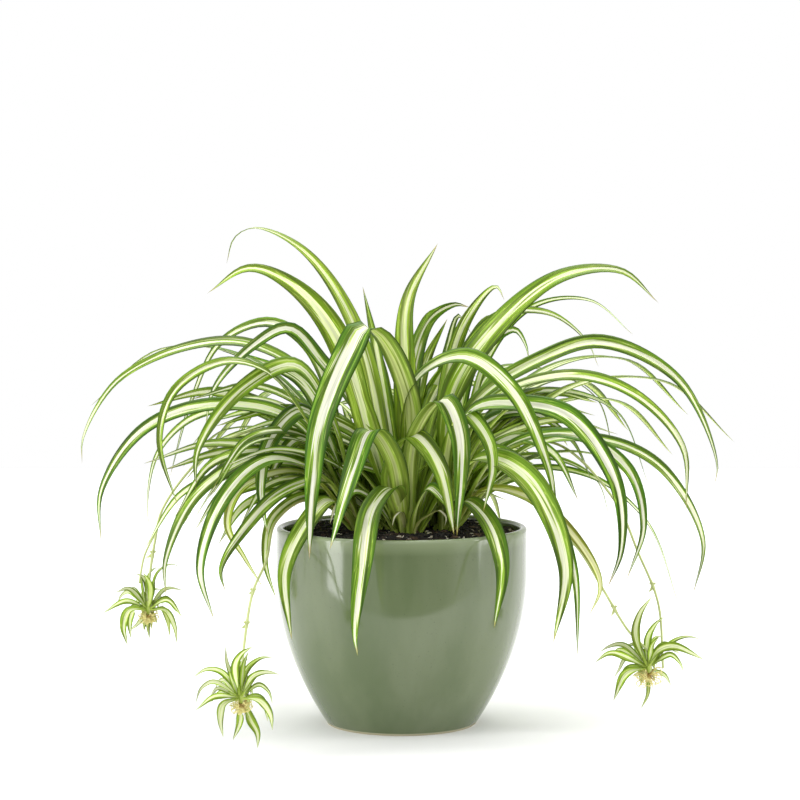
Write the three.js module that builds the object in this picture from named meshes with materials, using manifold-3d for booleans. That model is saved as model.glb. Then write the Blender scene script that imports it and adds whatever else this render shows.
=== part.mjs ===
// A spider plant in a glazed ceramic pot: three crowns on one rootstock, arching striped leaves,
// and pale runners that carry baby plants over the rim. Millimetres, +Z up, the front towards -Y.
// The origin is the centre of the pot's flat underside.

import * as THREE from 'three';
import { mergeVertices } from 'three/addons/utils/BufferGeometryUtils.js';
import Module from 'manifold-3d';

const wasm = await Module();
wasm.setup();

const GAP = 0.3;

// The pot
const RIM_RADIUS = 90.6;
const POT_HEIGHT = 143;
const LIP = 5.4;
const FOOT_RADIUS = 54.5;
const FOOT_HEIGHT = 2;
const BOWL_START_RADIUS = 55.4;
const BOWL_END = 110;
const BOWL_FULLNESS = 2;
const FOOT_WALL = 8;
const FLOOR = 12;
const FLOOR_CURVE = 5;
const POT_SIDES = 44;
// The heights between the foot and the rim at which the wall is drawn, outside and inside, and
// where round the lip.
const OUTER_LEVELS = [10, 21, 34, 50, 70, 92];
const INNER_LEVELS = [92, 38, 16];
const LIP_ANGLES = [35, 90, 145];

// The soil, and the hole that the rootstock stands in: a block round each crown and links between
// them, as wide as a share of the blocks' radius. The hole is open through the soil's top.
const SOIL_EDGE = 138;
const SOIL_MIDDLE = 139;
const SOIL_RINGS = [72, 48, 24];
const ROOTSTOCK_BOTTOM = 96;
const ROOTSTOCK_TOP = 134;
const ROOTSTOCK_RADIUS = 19;
const ROOTSTOCK_SIDES = 16;
const LINK_WIDTH = 1.3;
const HOLE_RISE = 20;

// The crowns that the leaves grow from, at the height of the leaves' roots
const CROWNS = {
  left: [-25, 2],
  centre: [4, -10],
  right: [28, 6],
};
const LEAF_ROOT = 139;
const ROOT_SPREAD = 7;
const ROOT_STAGGER = [-7, 7];
const CROWN_CORE = { shoulder: 139, top: 149, neck: 12, crest: 151 };

// The leaves are drawn as an eye in front of the plant sees them. The drawing's zero line lies a
// little above the foot's underside.
const EYE = { distance: 1730, height: 343 };
const DRAWING_BASE = 3;

// Leaves that show from the front. Each row: crown, greatest width, depth of the tip, lean of the
// upper face to the front in degrees, turn towards the tip in degrees, then the points [x, z] that
// the midrib passes, drawn at the middle of the plant.
const DRAWN_LEAVES = [
  ['centre', 17, 25, 60, -60, [-33, 281], [-71, 339], [-106, 355], [-120, 348], [-126, 329]],
  ['centre', 20, -55, 220, -200, [-49, 281], [-85, 318], [-111, 326], [-140, 308]],
  [
    'centre', 25, -95, -15, 50,
    [4, 228], [-16, 277], [-27, 283], [-38, 265], [-58, 217], [-65, 165], [-67, 115],
  ],
  ['centre', 13, 30, 75, 0, [-5, 188], [-18, 267], [-28, 313]],
  ['centre', 20, -20, 80, -10, [3, 250], [5, 304], [26, 344]],
  ['centre', 20, 30, 80, 0, [6, 245], [20, 289], [38, 300], [49, 298]],
  ['right', 15, 45, 75, 0, [31, 231], [46, 288], [68, 313], [74, 303]],
  ['right', 22, -60, 120, -100, [36, 231], [70, 285], [114, 320], [158, 324], [185, 301]],
  ['right', 6, 75, 50, 10, [62, 261], [95, 299], [136, 303], [167, 278]],
  ['right', 10, 35, 50, 0, [44, 260], [70, 292], [106, 294], [133, 274], [142, 255]],
  ['right', 12, 25, 75, 0, [50, 255], [81, 282], [89, 272], [92, 259]],
  ['right', 14, -20, 70, -30, [49, 223], [103, 262], [145, 273], [200, 245], [228, 185], [226, 169]],
  ['right', 13, -70, 30, 10, [60, 226], [120, 249], [167, 236], [203, 197], [206, 151]],
  ['right', 10, 60, 30, 0, [70, 226], [112, 238], [156, 222], [179, 169]],
  ['right', 8, 95, 20, 0, [64, 250], [103, 253], [141, 232], [154, 186]],
  ['right', 16, -110, 45, 10, [49, 222], [92, 228], [123, 218], [155, 171], [159, 122], [149, 94]],
  ['centre', 16, -90, 40, 10, [7, 240], [44, 263], [80, 238], [105, 185], [113, 146]],
  ['right', 19, -125, 30, 15, [50, 186], [72, 188], [99, 165], [119, 109], [110, 54]],
  ['right', 9, -95, 45, 0, [62, 196], [96, 176], [124, 112], [128, 43]],
  ['right', 11, -40, 35, 10, [90, 196], [141, 203], [186, 184], [218, 130], [211, 88]],
  ['right', 12, -80, 30, 10, [74, 196], [124, 206], [164, 181], [175, 140], [163, 100]],
  ['right', 9, 45, 30, 0, [80, 178], [136, 176], [178, 142], [202, 80]],
  ['right', 10, 60, 30, 0, [80, 187], [114, 188], [141, 173], [151, 145]],
  ['right', 11, -65, 30, 0, [59, 165], [93, 160], [130, 126], [144, 96], [136, 74]],
  ['right', 15, -110, 15, 0, [46, 158], [63, 143], [73, 108], [67, 65]],
  ['centre', 17, -78, 25, 0, [-8, 180], [8, 205], [27, 183], [38, 133]],
  ['centre', 18, -88, 20, 0, [11, 207], [30, 231], [42, 205], [40, 132]],
  ['right', 14, -72, 20, 0, [38, 205], [47, 221], [62, 203], [66, 182], [59, 150]],
  ['centre', 21, -105, 0, 0, [-8, 190], [-23, 209], [-35, 181], [-52, 123]],
  ['centre', 18, -145, 0, 0, [-7, 167], [-21, 153], [-29, 108], [-34, 60], [-32, 45]],
  ['left', 14, -105, 30, 0, [-52, 158], [-72, 137], [-85, 105], [-80, 57]],
  ['left', 15, -45, 50, 0, [-55, 205], [-73, 223], [-95, 201], [-102, 169], [-97, 133]],
  ['left', 13, -20, 65, 0, [-52, 190], [-74, 203], [-90, 186], [-100, 159]],
  ['left', 16, -60, 50, -10, [-50, 215], [-77, 256], [-114, 240], [-147, 196], [-149, 164]],
  ['left', 14, -50, 45, 0, [-74, 213], [-132, 228], [-185, 211], [-217, 166], [-218, 128]],
  ['left', 13, 5, 20, 25, [-62, 240], [-108, 271], [-153, 270], [-205, 245], [-230, 204], [-231, 185]],
  ['left', 12, 75, 50, 0, [-70, 242], [-103, 259], [-136, 269]],
  ['left', 11, 45, 40, 10, [-65, 266], [-95, 287], [-130, 273], [-151, 232], [-168, 174]],
  ['left', 10, -80, 30, 10, [-72, 222], [-98, 252], [-128, 259], [-164, 238], [-175, 202], [-161, 151]],
  ['centre', 12, -30, 50, 10, [-28, 215], [-58, 260], [-81, 283], [-105, 272], [-135, 240], [-142, 210]],
  ['left', 15, -60, 30, 0, [-60, 184], [-95, 193], [-147, 164], [-171, 115], [-171, 88]],
  ['left', 14, -90, 30, 0, [-58, 176], [-95, 188], [-126, 164], [-146, 110], [-136, 70]],
  ['left', 13, -75, 30, 0, [-55, 172], [-87, 164], [-114, 137], [-131, 108], [-128, 92]],
  ['left', 10, -55, 20, 0, [-70, 178], [-115, 168], [-126, 141], [-114, 117], [-100, 94]],
  ['left', 12, 60, 45, 0, [-52, 198], [-81, 213], [-107, 204], [-126, 184]],
  ['left', 9, 35, 50, 0, [-90, 222], [-147, 220], [-176, 193], [-184, 150], [-182, 138]],
  ['left', 8, -35, 50, 0, [-66, 162], [-93, 146], [-99, 115], [-91, 86]],
  ['centre', 12, -52, 35, 0, [12, 156], [21, 168], [38, 149]],
  ['centre', 10, -40, 50, 0, [-20, 158], [-34, 165], [-42, 154]],
  ['right', 11, 30, 45, 0, [58, 212], [90, 222], [122, 203], [138, 172]],
  ['right', 11, -30, 45, 0, [58, 190], [84, 204], [110, 192], [128, 158]],
];

// Leaves behind the plant fan out over a range of azimuths in degrees, and each leaf in its heart
// turns on from the last by the golden angle. They leave the crown at the angle rise and bend over
// to the angle end. Their sizes shift by fractions that never bring the same leaf back.
const BACK_LEAVES = {
  count: 22,
  azimuth: [16, 164],
  length: [190, 330],
  rise: [58, 80],
  end: -60,
  width: [13, 20],
};
const HEART_LEAVES = { count: 8, length: [95, 150], rise: [68, 84], end: 20, width: [8, 12] };
const GOLDEN_ANGLE = 137.508;
const SHIFT = { azimuth: 0.618, length: 0.755, rise: 0.57, width: 0.382, depth: 0.618 };
const BENDING = { steps: 20, stepsToPoint: 5, power: 1.4 };
// A back leaf below the first azimuth is on the right crown, and one above the other on the left.
const CROWN_SECTORS = { right: 65, left: 115 };

// A blade's width along its length, the angles of its channel, and how soon it has its lean. It
// thins towards the tip, to a share of its thickness.
const BLADE = { base: 0.26, widest: 0.45, taper: 1.9, leanBy: 0.4, leastSteps: 5, stepLength: 42 };
const BLADE_THICKNESS = { middle: 1.3, tipShare: 0.35, thinning: 1.6 };
const CHANNEL = { tip: 14, base: 34 };

// The runners. Each row of points: [x, z] as drawn at the middle of the plant, then the depth.
const RUNNER = { radius: 1.2, sides: 6, steps: 18, drop: 5 };
// The clear way that a runner has through the leaves begins before the runner does, by a share
// of the way to the runner's second point.
const TUNNEL_START = -0.02;
const BRANCH = { radius: 0.96, steps: 5 };
const RUNNERS = {
  upper_left: {
    path: [[-28, 136, 2], [-50, 182, 14], [-95, 210, 16], [-136, 196, 6], [-172, 154, 0], [-179, 127, 0]],
    branch: [[-177, 137, 0], [-186, 119, 1], [-189, 106, 1], [-190, 98, 1]],
    buds: [0.55, 0.88],
    baby: 'upper_left',
  },
  lower_left: {
    path: [
      [-30, 134, -6], [-50, 154, -14], [-72, 158, -24],
      [-91, 143, -36], [-98, 115, -66], [-109, 88, -104],
    ],
    buds: [0.67, 0.79],
    baby: 'lower_left',
  },
  right_outer: {
    path: [[30, 136, -2], [62, 168, -10], [99, 153, -18], [128, 123, -28], [147, 92, -34], [164, 64, -38]],
    buds: [0.55, 0.8],
    baby: 'right',
  },
  right_inner: {
    path: [
      [32, 138, 10], [62, 190, 26], [110, 200, 30],
      [153, 160, 26], [172, 119, 20], [186, 84, 16], [190, 36, 12],
    ],
    buds: [0.6, 0.8],
  },
};

// What grows at a runner's node: three buds round it and a bract, in millimetres and degrees.
const BUD = { radius: 1.5, stretch: 2, out: 2.6, tilt: 52, sides: 5, rings: 3 };
const BRACT = { reach: 8, bend: 0.7, rise: 4, tipRise: 3, width: 3.4 };

// The baby plants: the middle [x, z] as drawn and the depth of each, and its leaves. Each leaf's
// row: its width, how far its tip lies behind the middle, then the points [x, z] that its midrib
// passes, drawn from the middle.
const BABY_CORE = { radius: 4.2, top: 6, bottom: -3.5, flat: 1.6, root: 1.8, side: 3, sides: 8 };
const BABY_LEAVES = {
  upper_left: {
    at: [-184, 79, 0],
    leaves: [
      [5, 7, [0, 16], [-4, 24], [-9, 26]],
      [5, -6, [2, 15], [0, 22], [-4, 27]],
      [3, 10, [4, 15], [5, 24]],
      [2, 7, [7, 27], [17, 33], [25, 30]],
      [3, 8, [13, 15], [26, 14]],
      [4, -8, [14, 7], [25, -6]],
      [4, -4, [13, -1], [19, -12], [21, -26]],
      [3, 6, [0, -13], [1, -22]],
      [6, -8, [-14, -1], [-18, -12], [-15, -27]],
      [3, 6, [-7, -10], [-14, -16]],
      [4, 4, [-16, 6], [-33, -3]],
      [4, -6, [-14, 15], [-24, 12]],
      [3, 10, [-14, 13], [-20, 9], [-22, 0]],
    ],
  },
  lower_left: {
    at: [-117, 14, -150],
    leaves: [
      [3, 8, [-10, 26], [-11, 39]],
      [6, -6, [-4, 23], [0, 32], [9, 38]],
      [4, -3, [2, 24], [6, 35]],
      [4, 10, [4, 20], [14, 29], [24, 30]],
      [4, -6, [9, 16], [19, 19], [29, 17]],
      [3, 6, [13, 10], [20, 5], [23, -4]],
      [5, -8, [14, -2], [21, -11], [23, -24]],
      [6, 4, [7, -16], [12, -26], [12, -37]],
      [5, 6, [-1, -18], [-6, -31]],
      [5, -5, [-13, -5], [-15, -16], [-13, -29]],
      [4, -8, [-19, 1], [-33, -9]],
      [3, 6, [-17, 7], [-23, -1]],
      [3, -4, [-20, 12], [-29, 7], [-33, -4]],
      [4, 8, [-14, 19], [-25, 21], [-35, 15]],
    ],
  },
  right: {
    at: [179, 36, -40],
    leaves: [
      [6, -4, [-9, 24], [-6, 40], [3, 53]],
      [5, 6, [0, 22], [5, 32], [12, 38]],
      [4, -6, [3, 17], [8, 23]],
      [3, 10, [17, 19], [28, 23], [39, 21]],
      [6, -6, [8, 13], [19, 16], [41, 6]],
      [4, 8, [16, 10], [23, 4], [26, -3]],
      [3, 4, [12, -5], [17, -13]],
      [3, 6, [0, -19], [-5, -30]],
      [6, -8, [-16, -4], [-25, -24]],
      [3, 6, [-16, 7], [-21, -1], [-25, -8]],
      [5, -6, [-27, 11], [-39, 4]],
      [4, 5, [-18, 17], [-28, 16], [-36, 11]],
    ],
  },
};
const BABY_BLADE = { facing: 0.8, flip: 120 };
const ROOT_NUBS = { count: 4, length: [6, 10], radius: 1.5, splay: 12, turn: 120, drop: 0.9, sides: 4 };

const mesh = (name, geometry, color, roughness) => {
  const material = new THREE.MeshStandardMaterial({ color, roughness, metalness: 0 });
  const piece = new THREE.Mesh(geometry, material);
  piece.name = name;
  return piece;
};

const radians = THREE.MathUtils.degToRad;

// A value between a range's ends that shifts by a different fraction at each number.
const spread = ([low, high], number, step) => low + (high - low) * ((number * step) % 1);

// Joining and cutting closed solids

function solid(geometry) {
  const bare = geometry.clone();
  bare.deleteAttribute('normal');
  bare.deleteAttribute('uv');
  const merged = mergeVertices(bare, 1e-4);
  const vertProperties = new Float32Array(merged.attributes.position.array);
  const triVerts = new Uint32Array(merged.index.array);
  return new wasm.Manifold(new wasm.Mesh({ numProp: 3, vertProperties, triVerts }));
}

function geometryOf(manifold) {
  const { vertProperties, triVerts } = manifold.getMesh();
  const geometry = new THREE.BufferGeometry();
  geometry.setAttribute('position', new THREE.BufferAttribute(vertProperties, 3));
  geometry.setIndex(new THREE.BufferAttribute(triVerts, 1));
  geometry.computeVertexNormals();
  return geometry;
}

const join = (solids) => solids.reduce((whole, next) => whole.add(next));

// The piece with its loose scraps dropped.
function largestBody(manifold) {
  const bodies = manifold.decompose();
  return bodies.reduce((best, next) => (next.volume() > best.volume() ? next : best));
}

// A round profile of [radius, z] points turned about the vertical axis.
function turned(points, sides) {
  const profile = points.map(([r, z]) => new THREE.Vector2(r, z));
  return new THREE.LatheGeometry(profile, sides).rotateX(Math.PI / 2);
}

// The pot: a bowl curve up to a straight wall with a round lip

function bowlRadius(z) {
  const u = THREE.MathUtils.clamp((z - FOOT_HEIGHT) / (BOWL_END - FOOT_HEIGHT), 0, 1);
  return BOWL_START_RADIUS + (RIM_RADIUS - BOWL_START_RADIUS) * (1 - (1 - u) ** BOWL_FULLNESS);
}

const innerRadius = (z) => bowlRadius(z) - THREE.MathUtils.mapLinear(z, 0, POT_HEIGHT, FOOT_WALL, LIP);

function potProfile() {
  const outer = [FOOT_HEIGHT, ...OUTER_LEVELS, BOWL_END, POT_HEIGHT - LIP].map((z) => [bowlRadius(z), z]);
  const lip = LIP_ANGLES.map((angle) => [
    RIM_RADIUS - LIP / 2 + (LIP / 2) * Math.cos(radians(angle)),
    POT_HEIGHT - LIP / 2 + (LIP / 2) * Math.sin(radians(angle)),
  ]);
  const inner = [SOIL_EDGE, ...INNER_LEVELS].map((z) => [innerRadius(z), z]);
  return [
    [0, 0],
    [FOOT_RADIUS, 0],
    ...outer,
    ...lip,
    ...inner,
    [innerRadius(FLOOR) - FLOOR_CURVE, FLOOR],
    [0, FLOOR],
  ];
}

// The soil, mounded at the middle, with a plain hole for the rootstock

const soilHeight = (r) => SOIL_EDGE + (SOIL_MIDDLE - SOIL_EDGE) * Math.cos((Math.PI / 2) * (r / RIM_RADIUS));

function rootstockBlock(bottom, top, radius) {
  const profile = [[0, bottom], [radius, bottom], [radius, top], [0, top]];
  const spots = Object.values(CROWNS).map(([x, y]) =>
    solid(turned(profile, ROOTSTOCK_SIDES).translate(x, y, 0)));
  const links = [['left', 'centre'], ['centre', 'right']].map(([a, b]) => {
    const [ax, ay] = CROWNS[a];
    const [bx, by] = CROWNS[b];
    const link = new THREE.BoxGeometry(Math.hypot(bx - ax, by - ay), radius * LINK_WIDTH, top - bottom);
    link.rotateZ(Math.atan2(by - ay, bx - ax));
    return solid(link.translate((ax + bx) / 2, (ay + by) / 2, (top + bottom) / 2));
  });
  return join([...spots, ...links]);
}

function soilSolid() {
  const wall = [...INNER_LEVELS].reverse().map((z) => [innerRadius(z) - GAP, z]);
  const profile = [
    [0, FLOOR + GAP],
    [innerRadius(FLOOR) - FLOOR_CURVE - 2 * GAP, FLOOR + GAP],
    ...wall,
    [innerRadius(SOIL_EDGE) - GAP, SOIL_EDGE],
    ...SOIL_RINGS.map((r) => [r, soilHeight(r)]),
    [0, SOIL_MIDDLE],
  ];
  const hole = rootstockBlock(ROOTSTOCK_BOTTOM - GAP, ROOTSTOCK_TOP + HOLE_RISE, ROOTSTOCK_RADIUS + GAP);
  return solid(turned(profile, POT_SIDES)).subtract(hole);
}

// Leaves

// A point drawn in the front elevation, moved along the eye's line of sight to depth y.
function atDepth([x, z], y) {
  const k = 1 + y / EYE.distance;
  return new THREE.Vector3(x * k, y, EYE.height + (z + DRAWING_BASE - EYE.height) * k);
}

// A leaf goes out fast and then hangs: the share of its depth at a share of its length.
const outward = (s) => 1.5 * s - 0.5 * s ** 3;

// Where a leaf leaves its crown: on a small circle, towards the azimuth in radians, and staggered
// in depth so that neighbours pass beside each other.
function leafRoot(crown, azimuth, number) {
  const [x, y] = CROWNS[crown];
  const stagger = spread(ROOT_STAGGER, number, SHIFT.depth);
  return [x + ROOT_SPREAD * Math.cos(azimuth), y + ROOT_SPREAD * Math.sin(azimuth) + stagger];
}

// Drawn points, given a depth that goes from near to far along them.
function lifted(drawn, near, far) {
  const lengths = [0];
  for (let i = 1; i < drawn.length; i += 1) {
    lengths.push(lengths[i - 1] + Math.hypot(drawn[i][0] - drawn[i - 1][0], drawn[i][1] - drawn[i - 1][1]));
  }
  const whole = lengths[lengths.length - 1];
  return drawn.map((point, i) => atDepth(point, near + (far - near) * outward(lengths[i] / whole)));
}

function drawnPath([crown, , depth, , , ...points], number) {
  const [tipX] = points[points.length - 1];
  const [x, y] = leafRoot(crown, Math.atan2(depth, tipX - CROWNS[crown][0]), number);
  return lifted([[x, LEAF_ROOT - DRAWING_BASE], ...points], y, depth);
}

// A leaf grown by rule: it leaves its crown at the angle rise and bends over to the angle end.
function grownPath(crown, azimuth, length, rise, end, number) {
  const [x, y] = leafRoot(crown, radians(azimuth), number);
  const { steps, stepsToPoint, power } = BENDING;
  const points = [new THREE.Vector3(x, y, LEAF_ROOT)];
  const at = points[0].clone();
  for (let i = 0; i < steps; i += 1) {
    const angle = radians(rise - (rise - end) * ((i + 0.5) / steps) ** power);
    const out = (length / steps) * Math.cos(angle);
    at.x += out * Math.cos(radians(azimuth));
    at.y += out * Math.sin(radians(azimuth));
    at.z += (length / steps) * Math.sin(angle);
    if ((i + 1) % stepsToPoint === 0) {
      points.push(at.clone());
    }
  }
  return points;
}

// The share of its greatest width that a blade has at a share s of its length.
function bladeShare(s) {
  const { base, widest, taper } = BLADE;
  if (s < widest) {
    return base + (1 - base) * (1 - (1 - s / widest) ** 2);
  }
  return 1 - ((s - widest) / (1 - widest)) ** taper;
}

// How steeply the two halves of a blade rise from the midrib, in radians.
const channel = (s) => radians(CHANNEL.tip + CHANNEL.base * (1 - s) ** 3);

// One blade: a channelled section carried along the midrib's path, closed to a point at the tip.
function blade(points, width, lean, turn) {
  const path = new THREE.CatmullRomCurve3(points);
  const length = path.getLength();
  const steps = Math.max(BLADE.leastSteps, Math.round(BLADE.leastSteps / 2 + length / BLADE.stepLength));
  const reach = new THREE.Vector3().subVectors(points[points.length - 1], points[0]);
  const across = new THREE.Vector3(-reach.y, reach.x, 0).normalize();
  const side = Math.sign(reach.x) || 1;
  const { middle, tipShare, thinning } = BLADE_THICKNESS;
  const positions = [];
  for (let i = 0; i < steps; i += 1) {
    const s = i / steps;
    const centre = path.getPointAt(s);
    const along = path.getTangentAt(s);
    const wide = across.clone().addScaledVector(along, -across.dot(along)).normalize();
    const angle = radians(lean * Math.min(1, s / BLADE.leanBy) + turn * s) * side;
    wide.applyAxisAngle(along, angle);
    const up = new THREE.Vector3().crossVectors(along, wide);
    const half = (width / 2) * bladeShare(s);
    const out = half * Math.cos(channel(s));
    const lift = half * Math.sin(channel(s));
    const thick = middle * Math.min(1, thinning * (1 - s) + tipShare);
    const section = [[-out, lift], [out, lift], [0, -thick]];
    section.forEach(([a, b]) => {
      positions.push(centre.clone().addScaledVector(wide, a).addScaledVector(up, b));
    });
  }
  const tip = positions.length;
  positions.push(path.getPointAt(1));
  const faces = [[0, 2, 1]];
  for (let i = 0; i < steps - 1; i += 1) {
    const a = 3 * i;
    const b = a + 3;
    faces.push([a, a + 1, b], [a + 1, b + 1, b], [a + 1, a + 2, b + 1]);
    faces.push([a + 2, b + 2, b + 1], [a + 2, a, b + 2], [a, b, b + 2]);
  }
  const last = 3 * (steps - 1);
  faces.push([last, last + 1, tip], [last + 1, last + 2, tip], [last + 2, last, tip]);
  const geometry = new THREE.BufferGeometry().setFromPoints(positions);
  geometry.setIndex(faces.flat());
  const made = solid(geometry);
  return made.volume() < 0 ? solid(geometry.setIndex(faces.map(([p, q, r]) => [p, r, q]).flat())) : made;
}

// Leaf number i of a rule's set, on the crown and azimuth that whereOf gives for it.
function grownLeaves({ count, length, rise, end, width }, whereOf) {
  return Array.from({ length: count }, (_, i) => {
    const [crown, azimuth] = whereOf(i);
    const long = spread(length, i, SHIFT.length);
    const points = grownPath(crown, azimuth, long, spread(rise, i, SHIFT.rise), end, i);
    return blade(points, spread(width, i, SHIFT.width), 0, 0);
  });
}

function backPlace(i) {
  const azimuth = spread(BACK_LEAVES.azimuth, i, SHIFT.azimuth);
  if (azimuth < CROWN_SECTORS.right) {
    return ['right', azimuth];
  }
  return [azimuth > CROWN_SECTORS.left ? 'left' : 'centre', azimuth];
}

function heartPlace(i) {
  const names = Object.keys(CROWNS);
  return [names[i % names.length], i * GOLDEN_ANGLE];
}

// The swollen base of a crown, which its leaves grow out of.
function crownCore([x, y]) {
  const { shoulder, top, neck, crest } = CROWN_CORE;
  const radius = ROOTSTOCK_RADIUS;
  const profile = [
    [0, ROOTSTOCK_BOTTOM],
    [radius, ROOTSTOCK_BOTTOM],
    [radius, shoulder],
    [neck, top],
    [0, crest],
  ];
  return solid(turned(profile, ROOTSTOCK_SIDES).translate(x, y, 0));
}

function rosetteSolid() {
  const drawn = DRAWN_LEAVES.map((row, i) => blade(drawnPath(row, i), row[1], row[3], row[4]));
  const grown = [...grownLeaves(BACK_LEAVES, backPlace), ...grownLeaves(HEART_LEAVES, heartPlace)];
  const rootstock = rootstockBlock(ROOTSTOCK_BOTTOM, ROOTSTOCK_TOP, ROOTSTOCK_RADIUS);
  const whole = join([rootstock, ...Object.values(CROWNS).map(crownCore), ...drawn, ...grown]);
  return largestBody(whole.subtract(join(Object.values(RUNNERS).map(tunnel))));
}

// Runners: a round stem along the drawn path, with buds and a bract at each node. Where it carries
// a baby plant it comes down straight onto the plant's core.

const babyCentre = ([x, z, y]) => atDepth([x, z], y);

function runnerCurve({ path, baby }) {
  const points = path.map(([x, z, y]) => atDepth([x, z], y));
  if (baby) {
    const end = babyCentre(BABY_LEAVES[baby].at);
    end.z += BABY_CORE.top + GAP;
    points.push(end.clone().setZ(end.z + RUNNER.drop), end);
  }
  return new THREE.CatmullRomCurve3(points);
}

function stem(curve, radius, steps) {
  const ring = Array.from({ length: RUNNER.sides }, (_, i) => {
    const angle = (2 * Math.PI * i) / RUNNER.sides;
    return new THREE.Vector2(radius * Math.cos(angle), radius * Math.sin(angle));
  });
  const section = new THREE.Shape(ring);
  return solid(new THREE.ExtrudeGeometry(section, { steps, extrudePath: curve, bevelEnabled: false }));
}

function tunnel(runner) {
  const curve = runnerCurve(runner);
  const [first, second] = curve.points;
  curve.points[0] = first.clone().lerp(second, TUNNEL_START);
  return stem(curve, RUNNER.radius + 2 * GAP, RUNNER.steps);
}

function budsAt(curve, share) {
  const { radius, stretch, out, tilt, sides, rings } = BUD;
  const at = curve.getPointAt(share);
  return [0, 120, 240].map((angle) => {
    const bud = new THREE.SphereGeometry(radius, sides, rings).scale(1, 1, stretch).translate(0, 0, out);
    bud.rotateX(radians(tilt)).rotateZ(radians(angle));
    return solid(bud.translate(at.x, at.y, at.z));
  });
}

// A bract: a short blade that leaves the runner on its upper side and bends along it.
function bractAt(curve, share) {
  const { reach, bend, rise, tipRise, width } = BRACT;
  const at = curve.getPointAt(share);
  const along = curve.getTangentAt(share);
  const out = new THREE.Vector3(along.z, 0, -along.x).multiplyScalar(along.z > 0 ? -reach : reach);
  const middle = at.clone().addScaledVector(out, bend).addScaledVector(along, rise);
  return blade([at, middle, middle.clone().add(out).addScaledVector(along, tipRise)], width, 0, 0);
}

function runnerSolid(runner) {
  const curve = runnerCurve(runner);
  const pieces = [stem(curve, RUNNER.radius, RUNNER.steps)];
  if (runner.branch) {
    pieces.push(stem(runnerCurve({ path: runner.branch }), BRANCH.radius, BRANCH.steps));
  }
  runner.buds.forEach((share) => pieces.push(...budsAt(curve, share), bractAt(curve, share)));
  return join(pieces);
}

// Baby plants: leaves drawn out from a small core, over a cluster of root nubs

// The midrib of a baby plant's leaf: from one side of the core, towards its points.
function babyPath([x, z, y], depth, points) {
  const [firstX, firstZ] = points[0];
  const share = BABY_CORE.root / Math.hypot(firstX, firstZ);
  const drawn = [[firstX * share, firstZ * share], ...points].map(([px, pz]) => [x + px, z + pz]);
  return lifted(drawn, y + Math.sign(depth) * BABY_CORE.side, y + depth);
}

// The lean in degrees that turns a blade on this path broad to the front, less a share.
function facingLean(path) {
  const way = new THREE.Vector3().subVectors(path[path.length - 1], path[0]).normalize();
  const full = THREE.MathUtils.radToDeg(Math.atan2(Math.abs(way.x), way.y * way.z));
  return BABY_BLADE.facing * (full < BABY_BLADE.flip ? full : full - 180);
}

function babySolid({ at, leaves }) {
  const centre = babyCentre(at);
  const { radius, top, bottom, flat, sides } = BABY_CORE;
  const core = turned([[0, bottom], [flat, bottom], [radius, 0], [flat, top], [0, top]], sides);
  const blades = leaves.map(([width, depth, ...points]) => {
    const path = babyPath(at, depth, points);
    return blade(path, width, facingLean(path), 0);
  });
  return largestBody(join([solid(core.translate(centre.x, centre.y, centre.z)), ...blades]));
}

// The roots: one nub straight down and the others splayed out round it.
function rootsSolid({ at }) {
  const centre = babyCentre(at);
  const { count, length, radius, splay, turn, drop, sides } = ROOT_NUBS;
  const nubs = Array.from({ length: count }, (_, i) => {
    const long = spread(length, i, SHIFT.length);
    const nub = new THREE.ConeGeometry(radius, long, sides).rotateX(-Math.PI / 2).translate(0, 0, -long / 2);
    nub.rotateX(i === 0 ? 0 : radians(splay)).rotateZ(radians(i * turn));
    return solid(nub.translate(centre.x, centre.y, centre.z + BABY_CORE.bottom - drop));
  });
  return join(nubs);
}

const plant = new THREE.Group();
plant.add(mesh('pot', turned(potProfile(), POT_SIDES), 0x7f9274, 0.18));
plant.add(mesh('potting_soil', geometryOf(soilSolid()), 0x2a1d14, 0.95));
plant.add(mesh('rosette', geometryOf(rosetteSolid()), 0x6f9a3a, 0.5));
Object.entries(RUNNERS).forEach(([name, runner]) => {
  plant.add(mesh(`runner_${name}`, geometryOf(runnerSolid(runner)), 0xcfd98a, 0.55));
});
Object.entries(BABY_LEAVES).forEach(([name, baby]) => {
  plant.add(mesh(`plantlet_${name}`, geometryOf(babySolid(baby)), 0x8fb04e, 0.5));
  plant.add(mesh(`roots_${name}`, geometryOf(rootsSolid(baby)), 0xd9b36a, 0.7));
});

export default plant;
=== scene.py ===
import bpy
import numpy as np
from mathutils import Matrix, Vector


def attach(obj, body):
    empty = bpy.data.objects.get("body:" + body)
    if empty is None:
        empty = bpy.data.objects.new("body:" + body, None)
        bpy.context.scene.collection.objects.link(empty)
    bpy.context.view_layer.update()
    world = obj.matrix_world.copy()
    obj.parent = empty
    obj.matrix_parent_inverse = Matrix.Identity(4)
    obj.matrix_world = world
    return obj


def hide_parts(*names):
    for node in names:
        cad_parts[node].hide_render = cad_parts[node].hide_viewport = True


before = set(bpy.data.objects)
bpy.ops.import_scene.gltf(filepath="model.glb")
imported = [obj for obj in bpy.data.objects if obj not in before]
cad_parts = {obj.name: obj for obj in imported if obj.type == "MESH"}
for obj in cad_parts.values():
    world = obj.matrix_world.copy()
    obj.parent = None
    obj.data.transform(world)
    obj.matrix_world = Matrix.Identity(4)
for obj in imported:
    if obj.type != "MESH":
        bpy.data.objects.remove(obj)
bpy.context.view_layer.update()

MM = 0.001

# The pot
RIM_RADIUS = 90.6
POT_HEIGHT = 143
LIP = 5.4
FOOT_RADIUS = 54.5
FOOT_HEIGHT = 2
FOOT_ROUND = 0.9
BOWL_START_RADIUS = 55.4
BOWL_END = 110
STRAIGHT_FROM = 114
BOWL_FULLNESS = 2
FOOT_WALL = 8
FLOOR = 12
POT_SIDES = 192

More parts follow.
